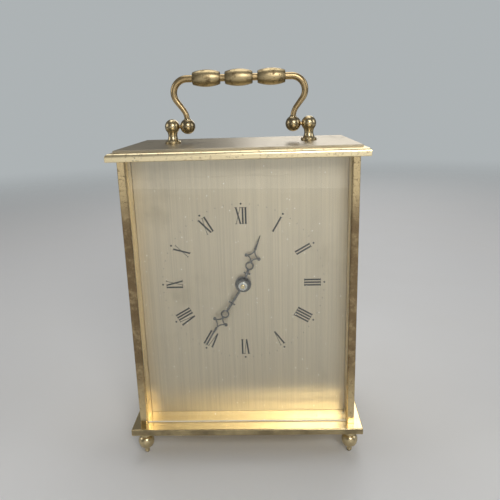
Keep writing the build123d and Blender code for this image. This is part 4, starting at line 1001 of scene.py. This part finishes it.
class MANTELCLOCK_OT_movement(bpy.types.Operator):
    """Finish the movement, its mounting and the battery behind the dial"""

    bl_idname = "mantelclock.movement"
    bl_label = "Movement and battery"

    def execute(self, context):
        steel, wheels = cad_look("bright_steel"), cad_look("wheel_brass")
        # The movement plates darken a little in their recesses as painted shade.
        plates = metal("movement_plates", (0.82, 0.65, 0.36), (0.50, 0.37, 0.20), 0.22, 0.38,
                       blotch=(90.0, 0.25), pits=(1500.0, 0.15), scratches=150.0,
                       lines=(600.0, 8000.0, 9000.0), line_depth=0.008, line_shade=0.02, hollow_shade=0.4)
        black = coated("black_moulding", (0.022, 0.022, 0.024), (0.03, 0.03, 0.032), 0.42)
        green = coated("board_lacquer", (0.03, 0.13, 0.06), (0.04, 0.16, 0.075), 0.32, coat=0.4)
        copper = coated("enamelled_copper", (0.46, 0.18, 0.07), (0.56, 0.24, 0.1), 0.3,
                        metallic=0.6, scale=1500.0)
        dress(steel, "balance_wheel", "centre_wheel", "hex_nuts", "index_lever", "mounting_screws",
              "movement_pillars", "post_nuts", "regulator_lever", "setting_arbor", "top_screws",
              "contact_plate", "contact_spring", "door_catch", "door_pins", "hairspring",
              "mounting_rail_left", "mounting_rail_right", "mounting_plate")
        dress(wheels, "cannon_pinion", "fourth_wheel", "hour_wheel", "index_wheel", "minute_wheel",
              "third_wheel", "setting_knob")
        dress(plates, "movement_back_plate", "movement_front_plate")
        dress(black, "battery_holder")
        dress(green, "circuit_board")
        dress(copper, "drive_coil")
        dress(cad_look("cell_jacket"), "battery_cell")
        return {"FINISHED"}


class MANTELCLOCK_PT_panel(bpy.types.Panel):
    """The clock's pieces, one button each"""

    bl_label = "Mantel Clock"
    bl_idname = "MANTELCLOCK_PT_panel"
    bl_space_type = "VIEW_3D"
    bl_region_type = "UI"
    bl_category = "Mantel Clock"

    def draw(self, context):
        for operator in OPERATORS:
            self.layout.operator(operator.bl_idname)
        for group in GROUPS:
            settings = getattr(context.scene, group)
            column = self.layout.column(heading=group)
            for key in settings.__annotations__:
                column.prop(settings, key)


GROUPS = {
    "clock_finishes": ClockFinishes,
    "clock_dial": ClockDial,
    "clock_handle": ClockHandle,
    "clock_stage": ClockStage,
}
OPERATORS = (
    MANTELCLOCK_OT_stage,
    MANTELCLOCK_OT_case,
    MANTELCLOCK_OT_handle,
    MANTELCLOCK_OT_glass,
    MANTELCLOCK_OT_dial,
    MANTELCLOCK_OT_hands,
    MANTELCLOCK_OT_movement,
)


def register():
    """Register the settings, the operators and the panel."""
    for name, group in GROUPS.items():
        bpy.utils.register_class(group)
        setattr(bpy.types.Scene, name, bpy.props.PointerProperty(type=group))
    for operator in OPERATORS:
        bpy.utils.register_class(operator)
    bpy.utils.register_class(MANTELCLOCK_PT_panel)


def unregister():
    """Remove what register added."""
    bpy.utils.unregister_class(MANTELCLOCK_PT_panel)
    for operator in reversed(OPERATORS):
        bpy.utils.unregister_class(operator)
    for name, group in reversed(GROUPS.items()):
        delattr(bpy.types.Scene, name)
        bpy.utils.unregister_class(group)


def main():
    """Build everything in order."""
    register()
    bpy.ops.mantelclock.stage()
    bpy.ops.mantelclock.case()
    bpy.ops.mantelclock.handle()
    bpy.ops.mantelclock.glass()
    bpy.ops.mantelclock.dial()
    bpy.ops.mantelclock.hands()
    bpy.ops.mantelclock.movement()


if __name__ == "__main__":
    main()
